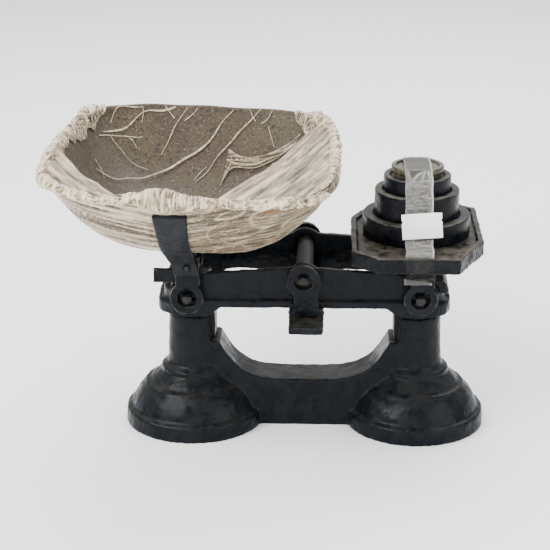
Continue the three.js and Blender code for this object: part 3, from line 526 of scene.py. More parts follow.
def forged_steel(name, dark, light, metal, roughness, rust_amount):
    """Dark forged or turned steel: two tones, fine pits, and a few rust specks."""
    material, tree, shader = new_material(name, Specular_IOR_Level=0.15)
    lumps = place_group(tree, lump_group, Swell=180.0, Pit=1400.0)
    tone = ramp(tree, lumps["Tone"], 0.35, 0.65)
    spots = place_group(tree, speck_group, Scale=260.0, Amount=rust_amount)["Mask"]
    colour = blend_colour(tree, spots, blend_colour(tree, tone, dark, light), (0.085, 0.048, 0.026))
    shine = ramp(tree, spots, 0.0, 1.0, metal, 0.0)
    feed(tree, shader, Base_Color=colour, Metallic=shine, Roughness=ramp(tree, tone, 0.0, 1.0, *roughness))
    add_bump(tree, shader, lumps["Height"], 0.35, 0.0004)
    return material


dark_steel = forged_steel("dark_steel", (0.007, 0.007, 0.008), (0.022, 0.021, 0.020), 0.05, (0.36, 0.6), 0.08)


def refinish(material, *names):
    """Gives parts of the frame a new finish in place of their plain one."""
    for name in names:
        nodes[name].data.materials.clear()
        nodes[name].data.materials.append(material)


refinish(dark_steel, "saddle_pin_front", "saddle_pin_rear", "saddle_bolt_left", "saddle_bolt_right")
refinish(dark_steel, "saddle_nut_left", "saddle_nut_right", "rail_wedge_left", "rail_wedge_right")

# ---- Beam ----
# An oblong cast frame, its sides stepped by a thin flange all round. A worn steel bar ties its middle, six
# hardened pear-shaped knives stand out of its sides, and a small block on its right end trims the balance.
cast_copy("painted_beam", "beam_casting", "beam", 0.0011, 0.00028, base_paint, 21)
cast_copy("trim_block", "balance_block", "beam", 0.0006, 0.00020, fitting_paint, 22, melt=3)
worn_steel = forged_steel("worn_steel", (0.013, 0.012, 0.010), (0.042, 0.039, 0.034), 0.1, (0.45, 0.7), 0.14)
refinish(worn_steel, "tie_bar")
refinish(dark_steel, *[f"{x}_knife_{y}" for x in ("centre", "left", "right") for y in ("front", "rear")])

# ---- Stay and legs ----
# Bars of black forged steel, hidden in the base: the stay turns on a pin in the bridge, and each carrier's
# leg hangs down its hollow pillar and takes the stay's end in a fork.
refinish(dark_steel, "stay", "stay_centre_pin", "left_leg", "right_leg", "left_leg_pin", "right_leg_pin")
refinish(dark_steel, "left_stay_pin", "right_stay_pin")

# ---- Carriers ----
# Two cast yokes with a ring at each end, which hang on the beam's end knives. The left one ends in short side
# bars and holds the pan's cradle; the right one carries the weight plate.
cast_copy("left_yoke", "left_carrier", "pan_carrier", 0.0009, 0.00028, fitting_paint, 31)
cast_copy("right_yoke", "right_carrier", "weight_carrier", 0.0009, 0.00028, fitting_paint, 32)

# ---- Cradle straps ----
# Two flat iron straps, bent out under the pan and riveted to the left yoke's necks. Their paint is smooth and
# worn.
strap_paint = iron_paint(
    "strap_paint",
    dark=(0.0085, 0.0095, 0.0110),
    light=(0.0170, 0.0185, 0.0205),
    dust=(0.050, 0.047, 0.040),
    dust_amount=0.35,
    wear=(0.012, 0.013, 0.015),
    wear_amount=0.5,
    ridge=0.53,
    rust_amount=0.01,
    rough=(0.42, 0.58),
)
cast_pair("iron_strap", "pan_strap", "pan_carrier", 0.0009, 0.00016, strap_paint, 41)
refinish(dark_steel, "strap_rivet_front", "strap_rivet_rear")

# ---- Goods pan ----
# An oblong pan pressed from tinned sheet, its rim rolled over a wire. The tin has dulled to grey-brown and is
# covered in fine specks of corrosion, with orange rust where the underside stayed damp.
PAN_TILT = math.radians(2.0)  # its right side lies low in the cradle
PAN_HALF = (0.127, 0.158)
PAN_DEPTH = 0.078
PAN_POWER = 2.9
PAN_SQUARENESS = 4.0
PAN_WALL = 0.002
BEAD = 0.003
BEAD_RISE = 0.0015  # the rim's wire lies this far above the pan's edge
PAN_AROUND = 288

pan_low, pan_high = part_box("goods_pan")
pan_place = ((pan_low.x + pan_high.x) / 2, 0.0, pan_low.z)


def together(*parts):
    """Fields side by side as one field of vectors, each spread over the same grid."""
    return np.stack(np.broadcast_arrays(*parts), axis=-1)


def squared(angle):
    """A circle made a rounded rectangle: x = cos a and y = sin a, each raised in size to the power 2 / n."""
    return [np.sign(e) * np.abs(e) ** (2 / PAN_SQUARENESS) for e in (np.cos(angle), np.sin(angle))]


def superellipse(around):
    """Unit points of the rounded-rectangle outline |x| ** n + |y| ** n = 1, spaced evenly by length. around
    runs from 0 on the right over 0.25 at the back, 0.5 on the left and 0.75 in front, to 1."""
    angle = np.linspace(0, 2 * np.pi, 4001)
    x, y = squared(angle)
    step = np.hypot(np.diff(x * PAN_HALF[0]), np.diff(y * PAN_HALF[1]))
    length = np.concatenate([[0], np.cumsum(step)])
    return squared(np.interp(np.mod(around, 1.0), length / length[-1], angle))


def pan_slope(share):
    """The slope of the pan's outer face along y, power * depth / half depth * share ** (power - 1)."""
    return PAN_DEPTH * PAN_POWER / PAN_HALF[1] * share ** (PAN_POWER - 1)


def pan_profile(share, offset=0.0):
    """Radius (the half depth along y) and height of the pan's outer face at a share of its half depth:
    height = depth * share ** power, moved out along the profile's normal by offset."""
    slope = pan_slope(share)
    length = np.hypot(1.0, slope)
    return PAN_HALF[1] * share + offset * slope / length, PAN_DEPTH * share**PAN_POWER - offset / length


def bead_profile(turn, radius):
    """Radius and height on the rolled rim: turn is the angle round its wire, 0 facing out."""
    centre = (PAN_HALF[1] + BEAD - PAN_WALL, PAN_DEPTH + BEAD_RISE)
    return centre[0] + radius * np.cos(turn), centre[1] + radius * np.sin(turn)


def in_pan(x, y, z):
    """Points given in the pan's own frame, tilted about y and set down in the cradle."""
    turned_x = x * math.cos(PAN_TILT) + z * math.sin(PAN_TILT)
    turned_z = z * math.cos(PAN_TILT) - x * math.sin(PAN_TILT)
    return together(turned_x + pan_place[0], y + pan_place[1], turned_z + pan_place[2])


def around_pan(radius, height, around):
    """Carries a profile of radius and height round the pan's outline."""
    x, y = superellipse(around)
    return in_pan(x * radius * PAN_HALF[0] / PAN_HALF[1], y * radius, height)


shares = np.linspace(0.0, 0.985, 60)
turns = np.linspace(-0.9, np.pi, 12)
outer = pan_profile(shares)
bead = bead_profile(turns, BEAD)
inner = pan_profile(shares[::-1], -PAN_WALL)
inner[0][-1] = 0.0
pan_r, pan_z = [np.concatenate(parts)[:, None] for parts in zip(outer, bead, inner)]
pan_grid = around_pan(pan_r, pan_z, np.linspace(0, 1, PAN_AROUND, endpoint=False)[None, :])
dent = waves(pan_grid * (1.0, 1.0, 0.0), 5, 14, 0.16, 0.04)
pan_grid[..., 2] += 0.0005 * dent * np.clip(pan_r / PAN_HALF[1], 0, 1)
pan = grid_object("sheet_pan", pan_grid)
pan.data.shade_smooth()

tin, tin_tree, tin_shader = new_material("dulled_tin", Specular_IOR_Level=0.3)
tin_lumps = place_group(tin_tree, lump_group, Swell=22.0, Pit=900.0)
tin_tone = ramp(tin_tree, tin_lumps["Tone"], 0.38, 0.62)
tin_colour = blend_colour(tin_tree, tin_tone, (0.054, 0.037, 0.024), (0.070, 0.053, 0.030))
tin_dark = place_group(tin_tree, speck_group, Scale=330.0, Amount=0.19)
tin_colour = blend_colour(tin_tree, tin_dark["Mask"], tin_colour, (0.016, 0.012, 0.009))
tin_light = place_group(tin_tree, speck_group, Scale=420.0, Amount=0.15)
tin_colour = blend_colour(tin_tree, tin_light["Mask"], tin_colour, (0.205, 0.155, 0.098))
tin_under = ramp(tin_tree, facing_up(tin_tree), -0.25, -0.7)
tin_rust = ramp(tin_tree, noise(tin_tree, 38.0, 7.0, Roughness=0.7), 0.52, 0.62)
tin_rusty = arithmetic(tin_tree, "MULTIPLY", tin_under, tin_rust)
tin_colour = blend_colour(tin_tree, tin_rusty, tin_colour, (0.240, 0.100, 0.028))
tin_metal = ramp(tin_tree, tin_rusty, 0.0, 1.0, 0.12, 0.0)
tin_rough = ramp(tin_tree, tin_tone, 0.0, 1.0, 0.46, 0.62)
feed(tin_tree, tin_shader, Base_Color=tin_colour, Metallic=tin_metal, Roughness=tin_rough)
add_bump(tin_tree, tin_shader, tin_lumps["Height"], 0.3, 0.0005)
pan.data.materials.append(tin)
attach(pan, "pan")
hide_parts("goods_pan")

# ---- Wrapping film ----
# Thin stretched film, wound round the pan for carrying. It clings to the outside in long drawn wrinkles, is
# bunched like rope along the rim, spans two corners, and has torn to threads across the open middle.
FILM_GAP = 0.0006
FILM_SHEET = 0.0003


def creases(points, seed, count, longest, shortest):
    """A crumpled field: the mean of count triangle waves in random directions, weighted by their lengths, so
    that it is made of flat facets with sharp folds between them. It lies between 0 and 1."""
    length, direction, phase = wave_set(seed, count, points.shape[-1], longest, shortest)
    field = np.zeros(points.shape[:-1])
    for k, d, p, w in zip(1.0 / length, direction, phase, length / length.sum()):
        field += w * np.abs(np.mod(points @ d * k + p, 1.0) * 2.0 - 1.0)
    return field


def ridges(points, seed, longest, shortest, layers=5, sharp=0.22):
    """Wrinkles: ridge lines exp(-(w / sharp) ** 2) along the places where fields of waves w cross zero. Each
    layer has shorter waves and lower ridges than the one before, and the highest counts, from 0 to 1."""
    field = np.zeros(points.shape[:-1])
    for layer in range(layers):
        length = longest * (shortest / longest) ** (layer / (layers - 1))
        crossing = waves(points, seed + 31 * layer, 9, length, 0.45 * length)
        height = 1.0 - 0.45 * layer / (layers - 1)
        field = np.maximum(field, height * np.exp(-((crossing / sharp) ** 2)))
    return field


film_shares = np.linspace(0.30, 0.985, 40)
film_turns = np.linspace(-0.7, np.pi - 0.2, 12)
film_down = np.linspace(0.975, 0.86, 8)
path_r, path_z = map(
    np.concatenate,
    zip(pan_profile(film_shares), bead_profile(film_turns, BEAD), pan_profile(film_down, -PAN_WALL)),
)
path_step = np.hypot(np.diff(path_r), np.diff(path_z))
path_length = np.concatenate([[0], np.cumsum(path_step)])
RIM_START = path_length[len(film_shares) - 1]
RIM_TOP = path_length[len(film_shares) + 6]
tangent_r, tangent_z = np.gradient(path_r, path_length), np.gradient(path_z, path_length)
tangent_size = np.hypot(tangent_r, tangent_z)


def on_wall(along, lift, around):
    """A point of the film: along metres up the pan's outside, over its rim and down its inside, at around on
    the outline, and lift metres off the sheet."""
    r, z, tr, tz = [
        np.interp(along, path_length, field)
        for field in (path_r, path_z, tangent_r / tangent_size, tangent_z / tangent_size)
    ]
    return around_pan(r + tz * lift, z - tr * lift, around)


def steps(around, knots):
    """A value that changes evenly between knots of (around, value)."""
    places, values = zip(*knots)
    return np.interp(around, places, values)


def film_piece(name, points, crease, closed=(False, False), sheet=True, flow=None):
    """A film surface through a grid of points. It keeps two attributes: its crease value, and its flow, which
    is each point's place along and across the pull. The film and tape materials turn the crease value into
    density and into a lighter colour that is partly painted highlight on the folds. A sheet is given its
    thickness, which closes its edges."""
    flow = points[..., :2] if flow is None else flow
    flow = np.concatenate([flow, np.zeros_like(flow[..., :1])], axis=-1)
    piece = grid_object(name, points, closed, crease=crease, flow=flow)
    piece.data.shade_smooth()
    if sheet:
        solid = piece.modifiers.new("sheet", "SOLIDIFY")
        solid.thickness = FILM_SHEET
        solid.offset = 0.0
        apply_modifiers(piece)
    return piece


film, film_tree, film_shader = new_material("stretched_film", Specular_IOR_Level=0.4)
film_crease = add_node(film_tree, "ShaderNodeAttribute", attribute_name="crease").outputs["Fac"]
film_flow = add_node(film_tree, "ShaderNodeAttribute", attribute_name="flow").outputs["Vector"]
film_pulled = add_node(film_tree, "ShaderNodeMapping", {"Vector": film_flow, "Scale": (26.0, 620.0, 1.0)})
film_streak = noise(film_tree, 1.0, 5.0, film_pulled.outputs[0], Roughness=0.65, Distortion=0.35)
film_cloud = noise(film_tree, 55.0, 6.0, Roughness=0.6)
film_line = ramp(film_tree, film_streak, 0.36, 0.66, -0.42, 0.42)
# the film is painted lighter where its crease value and the streaks along the pull are high: partly film
# doubled over in the folds, partly painted highlights on them
film_white = arithmetic(film_tree, "ADD", film_crease, film_line, use_clamp=True)
film_colour = blend_colour(film_tree, film_white, (0.150, 0.102, 0.056), (0.750, 0.625, 0.445))
film_lined = arithmetic(film_tree, "MULTIPLY_ADD", film_line, 0.55, film_cloud)
film_density = arithmetic(film_tree, "MULTIPLY_ADD", film_crease, 0.9, film_lined)
film_alpha = ramp(film_tree, film_density, 0.42, 1.05, 0.10, 0.95)
film_rough = ramp(film_tree, film_cloud, 0.0, 1.0, 0.22, 0.42)
feed(film_tree, film_shader, Base_Color=film_colour, Alpha=film_alpha, Roughness=film_rough)
add_bump(film_tree, film_shader, film_streak, 0.6, 0.0008)

# the skirt: wound tight round the outside, and over the rim except along two stretches at the back and left
AROUND = 0.95  # metres round the pan's outline
STRAP_AT = 0.74  # where the front strap stands on the outline
LOW_EDGE = [(0, 0.030), (0.2, 0.022), (0.5, 0.026), (0.62, 0.022), (0.72, 0.016), (0.8, 0.006), (1, 0.03)]
OVER_RIM = [(0, 1), (0.135, 1), (0.15, 0), (0.35, 0), (0.362, 1)]  # 1 over the rim, 0 where it stops below
OVER_RIM += [(0.40, 1), (0.41, 0), (0.46, 0), (0.475, 1), (1, 1)]
CRUMPLED = [(0, 0.6), (0.6, 0.1), (0.74, 0.05), (0.78, 0.8), (0.85, 0.6), (0.92, 0.3), (1, 0.6)]
skirt_u = np.linspace(0, 1, 640, endpoint=False)[None, :]
skirt_v = np.linspace(0, 1, 76)[:, None]
ragged = creases(together(skirt_u * 3.0, 0.0), 61, 9, 0.9, 0.05)
skirt_low = steps(skirt_u, LOW_EDGE) + 0.020 * (ragged - 0.5)
skirt_high = RIM_START - 0.004 + steps(skirt_u, OVER_RIM) * (RIM_TOP + 0.010 - RIM_START)
skirt_along = skirt_low + (skirt_high - skirt_low) * skirt_v
sweep = skirt_along - 0.28 * np.abs(skirt_u - STRAP_AT)  # the wrinkles run down towards the strap
pull = together(skirt_u * AROUND, sweep)
drawn_folds = ridges(pull * (0.06, 1.0), 62, 0.045, 0.016, 4, 0.30)
streaks = 0.5 + 0.5 * waves(pull * (0.08, 1.0), 64, 16, 0.030, 0.008)
crumple = ridges(together(skirt_u * 0.70, sweep), 63, 0.060, 0.022, 4, 0.16)
mix = steps(skirt_u, CRUMPLED)
# the crease value rises along the folds and streaks: it lifts the film there and paints it lighter, partly as
# painted highlights
skirt_crease = np.maximum((1 - mix) * drawn_folds, mix * crumple) * 0.75
skirt_crease = skirt_crease + (0.30 - 0.34 * mix) * np.clip(streaks, 0, 1)
skirt_crease = np.clip(skirt_crease, 0, 1)
skirt_points = on_wall(skirt_along, FILM_GAP + 0.0016 * skirt_crease, skirt_u)
skirt = film_piece("film_skirt", skirt_points, skirt_crease, (False, True), flow=pull)

# the rope: film gathered along the rim, thick at the corners and at the strap
ROPE_RUNS = {  # along the outline, radius in mm
    "film_rope_front": [
        (0.560, 1.5), (0.575, 3.5), (0.60, 4.5), (0.63, 2.6), (0.66, 2.0), (0.70, 2.2), (0.715, 3.4),
        (0.726, 5.8), (0.742, 6.4), (0.752, 4.6), (0.770, 2.4), (0.80, 2.2), (0.83, 2.8), (0.86, 2.4),
        (0.885, 1.2),
    ],
    "film_rope_right": [
        (0.875, 1.2), (0.90, 2.6), (0.94, 3.6), (0.98, 4.6), (1.02, 3.8), (1.06, 4.2), (1.09, 3.4),
        (1.115, 4.8), (1.135, 4.5), (1.15, 1.2),
    ],
    "film_rope_back_left": [(0.360, 1.0), (0.372, 3.6), (0.388, 4.2), (0.402, 1.2)],
    "film_rope_left": [(0.468, 1.0), (0.485, 3.0), (0.52, 3.4), (0.55, 4.2), (0.568, 1.8)],
}
ROPE_DOWN = {"film_rope_right": 0.0045, "film_rope_front": -0.0035}  # inside the rim, or outside it
ropes = []
for number, (name, knots) in enumerate(ROPE_RUNS.items()):
    start, stop = knots[0][0], knots[-1][0]
    along = np.linspace(start, stop, int(1400 * (stop - start)) + 24)[:, None]
    turn = np.linspace(0, 2 * np.pi, 28, endpoint=False)[None, :]
    size = steps(along, knots) / 1000.0
    cells = together(along * AROUND, 0.006 * np.cos(turn + along * 60), 0.006 * np.sin(turn + along * 60))
    folds = ridges(cells * (0.6, 1.0, 1.0), 70 + number, 0.024, 0.008, sharp=0.3)
    size = size * (0.74 + 0.40 * folds)
    sway = waves(together(along, 0.0), 80 + number, 9, 0.06, 0.012)
    rise = RIM_TOP + ROPE_DOWN.get(name, 0.0) + 0.0010 * sway + size * np.cos(turn)
    points = on_wall(rise, 0.0012 + size * (0.62 + 0.60 * np.sin(turn)), along)
    points[[0, -1]] = points[[0, -1]].mean(axis=1, keepdims=True)
    rope_flow = together(0.006 * turn, 0.5 * along)
    # the crease value paints the rope lighter on the tops of its folds, partly as painted highlights, and
    # darker in the hollows between them as painted shade
    ropes.append(film_piece(name, points, 0.10 + 0.90 * folds**0.8, (False, True), False, rope_flow))

# the panels: film stretched flat from the rim to a taut edge across a corner
PANELS = {  # from and to on the outline, sag in metres
    "film_panel_right": (0.779, 1.122, 0.006),
    "film_panel_left": (0.520, 0.694, 0.004),
}
panels = []
for number, (name, (start, stop, sag)) in enumerate(PANELS.items()):
    u = np.linspace(start, stop, 260)[:, None]
    v = np.linspace(0, 1, 90)[None, :]
    rim = on_wall(np.full_like(u, RIM_TOP + 0.0025), 0.0008, u)
    share = (u - start) / (stop - start)
    ease = share + 0.10 * np.sin(2 * np.pi * share)
    chord = rim[0] + (rim[-1] - rim[0]) * ease[..., None]
    points = rim + (chord - rim) * v[..., None]
    across = rim[-1, 0] - rim[0, 0]
    across = np.array([-across[1], across[0], 0.0]) / np.linalg.norm(across)
    reach = points @ across
    stretch = points @ np.array([across[1], -across[0], 0.0])
    folds = ridges(together(stretch * 0.05, reach), 90 + number, 0.040, 0.012, 4, 0.35)
    points[..., 2] -= sag * np.sin(np.pi * share) * v * (1.3 - 0.3 * v)
    points[..., 2] += 0.0026 * (folds - 0.4) * np.minimum(v * 6, 1.0) * np.sin(np.pi * share) ** 0.4
    panel_flow = together(0.4 * stretch, 0.3 * reach)
    # the crease value paints the panel lighter along its folds, partly as painted highlights
    panels.append(film_piece(name, points, 0.30 + 0.26 * folds, flow=panel_flow))

# the cling patches: crumpled film that lies on the inside below the bunches
PATCHES = {  # from and to on the outline, deepest reach down the inside in metres, crumple in metres
    "film_patch_back_right": (1.085, 1.162, 0.024, 0.0040),
    "film_patch_back_left": (0.358, 0.478, 0.024, 0.0045),
    "film_patch_left": (0.452, 0.560, 0.016, 0.0050),
    "film_patch_right": (0.870, 1.090, 0.012, 0.0030),
}
patches = []
for number, (name, (start, stop, depth, height)) in enumerate(PATCHES.items()):
    u = np.linspace(start, stop, 150)[None, :]
    v = np.linspace(0, 1, 60)[:, None]
    share = (u - start) / (stop - start)
    line = together(u * AROUND, 0.0)
    edge = depth * np.sin(np.pi * share) ** 0.5 * (0.35 + 0.9 * creases(line, 100 + number, 8, 0.04, 0.008))
    along = RIM_TOP + 0.001 + edge * v
    cells = together(u * AROUND, along)
    folds = ridges(cells * (1.0, 0.45), 110 + number, 0.030, 0.010, sharp=0.16)
    lift = FILM_GAP + 0.0008 + height * folds * np.sin(np.pi * np.clip(v * 0.9 + 0.08, 0, 1))
    points = on_wall(along, lift, u)
    # the crease value paints the patch lighter along its folds, partly as painted highlights
    patches.append(film_piece(name, points, 0.15 + 0.85 * folds, flow=cells[..., ::-1]))

# the threads: strands left where the film tore across the open middle, given in the pan's own frame in mm
# as points of x and y, with the strand's greatest width in mm
THREADS = [
    (2.6, [(-101, 114), (-87, 128), (-66, 147), (-47, 153), (-33, 157)]),
    (1.1, [(-97, 128), (-91, 143), (-77, 149), (-63, 155)]),
    (0.8, [(-66, 153), (-65, 148), (-66, 142)]),
    (1.3, [(-22, 158), (-32, 145), (-38, 133), (-45, 120)]),
    (1.0, [(-94, 118), (-84, 111), (-74, 104), (-55, 102)]),
    (0.9, [(-103, 105), (-92, 119), (-77, 127), (-65, 133)]),
    (0.7, [(-77, 127), (-73, 124), (-69, 121)]),
    (1.1, [(-104, 67), (-98, 58), (-92, 50)]),
    (3.2, [
        (-100, 52), (-92, 57), (-84, 64), (-66, 86), (-42, 102), (-20, 117), (-1, 130), (12, 146), (25, 157),
    ]),
    (1.7, [(-9, 94), (3, 108), (14, 122), (30, 140), (47, 153), (53, 157)]),
    (1.4, [(22, 126), (26, 116), (21, 104), (16, 92)]),
    (2.2, [(26, 116), (51, 114), (65, 117), (89, 124)]),
    (1.0, [(61, 145), (64, 136), (67, 127)]),
    (1.0, [(63, 155), (61, 152), (59, 149), (52, 147)]),
    (0.8, [(-10, 96), (-4, 104), (1, 112)]),
    (0.8, [(-12, 157), (-16, 151), (-24, 147)]),
    (0.7, [(-45, 157), (-40, 152), (-34, 149)]),
    (0.8, [(40, 157), (43, 152), (47, 149)]),
]
THREAD_LEAST = 0.00028  # half the width of the thinnest strand
THREAD_THICK = 0.0005
THREAD_CREASE = 0.62

def smooth_line(points, count):
    """A Catmull-Rom curve: through each point, with the slope there that of its two neighbours' chord."""
    points = np.asarray(points, float)
    padded = np.vstack([2 * points[0] - points[1], points, 2 * points[-1] - points[-2]])
    at = np.linspace(0, len(points) - 1, count)
    i = np.minimum(at.astype(int), len(points) - 2)
    t = (at - i)[:, None]
    a, b, c, d = [padded[i + k] for k in range(4)]
    return 0.5 * (2 * b + (c - a) * t + (2 * a - 5 * b + 4 * c - d) * t**2 + (3 * b - a - 3 * c + d) * t**3)


def inner_height(x, y):
    """Height of the pan's inside above its bottom at x and y in its own frame."""
    size = (np.abs(x / PAN_HALF[0]) ** PAN_SQUARENESS + np.abs(y / PAN_HALF[1]) ** PAN_SQUARENESS) ** 0.25
    share = np.clip(size, 0, 1)
    return PAN_DEPTH * share**PAN_POWER + PAN_WALL * np.hypot(1.0, pan_slope(share))


threads = []
for number, (width, route) in enumerate(THREADS):
    line = smooth_line(mm(route), 70)
    x, y = line[:, 0], line[:, 1]
    share = np.linspace(0, 1, len(x))
    sway = waves(line, 130 + number, 5, 0.06, 0.025)
    side = np.stack([-np.gradient(y), np.gradient(x)], -1)
    side /= np.linalg.norm(side, axis=1, keepdims=True)
    x = x + 0.0006 * sway * side[:, 0]
    y = y + 0.0006 * sway * side[:, 1]
    taper = np.sin(np.pi * np.clip(share * 0.92 + 0.04, 0, 1)) ** 0.5
    taper = taper * (0.55 + 0.25 * np.sin(9 * share + number))
    half = np.maximum(width / 2300.0 * taper, THREAD_LEAST)
    turn = np.linspace(0, 2 * np.pi, 10, endpoint=False)
    thick = np.minimum(half, THREAD_THICK)
    lift = 0.0016 + 0.0020 * np.sin(np.pi * share) ** 2
    px = x[:, None] + side[:, :1] * half[:, None] * np.cos(turn)
    py = y[:, None] + side[:, 1:] * half[:, None] * np.cos(turn)
    pz = inner_height(px, py) + lift[:, None] + thick[:, None] * np.sin(turn)
    grid = in_pan(px, py, pz)
    grid[[0, -1]] = grid[[0, -1]].mean(axis=1, keepdims=True)
    crease = np.full(px.shape, THREAD_CREASE)
    threads.append(film_piece(f"film_thread_{number + 1}", grid, crease, (False, True), False))

# the web: a torn scrap that hangs between two threads
web_top = smooth_line(mm([(22, 127), (36, 121), (60, 121), (92, 127)]), 80)
web_low = smooth_line(mm([(17, 94), (27, 110), (52, 110), (88, 121)]), 80)
web_v = np.linspace(0, 1, 24)[None, :, None]
web_line = web_top[:, None] + (web_low - web_top)[:, None] * web_v
web_cells = together(web_line[..., 0] * 0.10, web_line[..., 1])
web_folds = ridges(web_cells, 141, 0.016, 0.007, 3, 0.09)
web_folds = np.maximum(web_folds, np.abs(web_v[..., 0] * 2 - 1) ** 8)
web_z = inner_height(web_line[..., 0], web_line[..., 1]) + 0.0016 + 0.0016 * web_folds
# the crease value paints the web lighter along its folds and edges, partly as painted highlights on the folds
web = film_piece("film_web", in_pan(web_line[..., 0], web_line[..., 1], web_z), 0.02 + 0.62 * web_folds)

scraps = ropes + patches + threads + [web]
for piece in [skirt, *panels, *scraps]:
    piece.data.materials.append(film)
    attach(piece, "pan")
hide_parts("film_wrap")

# ---- Weight plate ----
# An eight-sided tray cast in iron, with a raised rim and a rough floor that has gathered dust and grit. One
# countersunk screw holds it to the right yoke.
plate_paint = iron_paint(
    "plate_paint",
    dark=(0.0022, 0.0028, 0.0038),
    light=(0.0066, 0.0078, 0.0090),
    dust=(0.078, 0.066, 0.050),
    dust_amount=0.90,
    wear=(0.120, 0.104, 0.082),
    wear_amount=0.8,
    ridge=0.525,
    rust_amount=0.07,
)
cast_copy("weight_tray", "weight_plate", "weight_carrier", 0.0011, 0.00030, plate_paint, 51)
refinish(dark_steel, "plate_screw")

# ---- Weights ----
# Four round weights, each turned with a raised rim that seats the next: three of iron, blackened and rubbed
# grey on the rims, and the smallest of tarnished brass.
weight_iron = iron_paint(
    "weight_iron",
    dark=(0.0016, 0.0020, 0.0032),
    light=(0.0050, 0.0058, 0.0074),
    dust=(0.088, 0.080, 0.066),
    dust_amount=0.85,
    wear=(0.230, 0.205, 0.165),
    wear_amount=0.9,
    ridge=0.522,
    rust_amount=0.03,
    rough=(0.22, 0.42),
)
old_brass, brass_tree, brass_shader = new_material("old_brass", Specular_IOR_Level=0.5)
brass_lumps = place_group(brass_tree, lump_group, Swell=90.0, Pit=900.0)
brass_tone = ramp(brass_tree, brass_lumps["Tone"], 0.36, 0.64)
brass_colour = blend_colour(brass_tree, brass_tone, (0.026, 0.022, 0.012), (0.070, 0.061, 0.036))
brass_edge = place_group(brass_tree, edge_group, Amount=0.7, Ridge=0.52, Scale=160.0)
brass_colour = blend_colour(brass_tree, brass_edge["Mask"], brass_colour, (0.130, 0.115, 0.078))
brass_dust = place_group(brass_tree, dust_group, Amount=0.35, Scale=110.0, Steepest=0.5)["Mask"]
brass_colour = blend_colour(brass_tree, brass_dust, brass_colour, (0.120, 0.106, 0.080))
brass_metal = ramp(brass_tree, brass_dust, 0.0, 1.0, 0.35, 0.1)
brass_rough = ramp(brass_tree, brass_tone, 0.0, 1.0, 0.38, 0.55)
feed(brass_tree, brass_shader, Base_Color=brass_colour, Metallic=brass_metal, Roughness=brass_rough)
add_bump(brass_tree, brass_shader, brass_lumps["Height"], 0.35, 0.0005)

RECESS = 0.0026
RECESS_GAP = 0.0008
WEIGHT_BODIES = ["two_pound", "one_pound", "half_pound", "quarter_pound"]
weight_boxes = [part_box(f"weight_{name}") for name in WEIGHT_BODIES]
for number, name in enumerate(WEIGHT_BODIES):
    low, high = weight_boxes[number]
    radius = (high.y - low.y) / 2
    tall = high.z - low.z
    brass = number == len(WEIGHT_BODIES) - 1
    if brass:  # a narrower body under a rim that stands out
        seat = radius - 0.0045
        lip = radius - 0.0018
        side = [(lip - 0.0008, 0.0008), (lip, 0.0020), (lip, tall - 0.0066)]
        side += [(radius - 0.0003, tall - 0.0052), (radius, tall - 0.0044)]
    else:  # a plain wall, and a recess that fits the weight above
        above_low, above_high = weight_boxes[number + 1]
        seat = (above_high.y - above_low.y) / 2 + RECESS_GAP
        side = [(radius - 0.0008, 0.0006), (radius - 0.0002, 0.0016)]
    profile = [(radius * 0.5, 0.0), (side[0][0] - 0.001, 0.0), *side, (radius, tall - 0.0012)]
    profile += [(radius - 0.0003, tall - 0.0004), (radius - 0.0010, tall), (seat + 0.0008, tall)]
    profile += [(seat + 0.0002, tall - 0.0004), (seat, tall - 0.0010)]
    profile += [(seat, tall - RECESS), (seat * 0.5, tall - RECESS)]
    centre = ((high.x + low.x) / 2, 0.0)
    weight = turned(f"turned_weight_{name}", np.array(profile) + (0.0, low.z), centre)
    voxel = 0.0007 + 0.00002 * (high.y - low.y) * 1000 / 5
    cast_skin(weight, voxel, 1, 0.00012, 150 + number)
    weight.data.materials.append(old_brass if brass else weight_iron)
    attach(weight, name)
    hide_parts(f"weight_{name}")

# ---- Tape ----
# Clear adhesive tape, drawn from the top weight down over the stack, with a second length over the tray's
# rim to the yoke. It is creased lengthways from the pull. Its edges and some slanting streaks, where it
# turns, are painted light and more opaque as highlights.
TAPE_HALF = 0.0125
TAPE_GAP = 0.0008
TAPE_FOLD = 0.0009  # how far a fold stands out
tape, tape_tree, tape_shader = new_material("clear_tape", Specular_IOR_Level=0.7)
tape_crease = add_node(tape_tree, "ShaderNodeAttribute", attribute_name="crease").outputs["Fac"]
tape_place = add_node(tape_tree, "ShaderNodeTexCoord").outputs["Object"]
tape_pulled = add_node(tape_tree, "ShaderNodeMapping", {"Vector": tape_place, "Scale": (60, 60, 520)})
tape_streak = noise(tape_tree, 1.0, 5.0, tape_pulled.outputs[0])
# painted highlights: the tape is lighter and more opaque where its crease value is high, on its folds, its
# edges and its slanting streaks
tape_colour = blend_colour(tape_tree, tape_crease, (0.085, 0.079, 0.066), (0.600, 0.585, 0.550))
tape_alpha = ramp(tape_tree, tape_crease, -1.0, 1.0, 0.02, 0.85)
tape_rough = ramp(tape_tree, tape_streak, 0.0, 1.0, 0.12, 0.34)
feed(tape_tree, tape_shader, Base_Color=tape_colour, Alpha=tape_alpha, Roughness=tape_rough)
add_bump(tape_tree, tape_shader, tape_streak, 0.5, 0.0006)


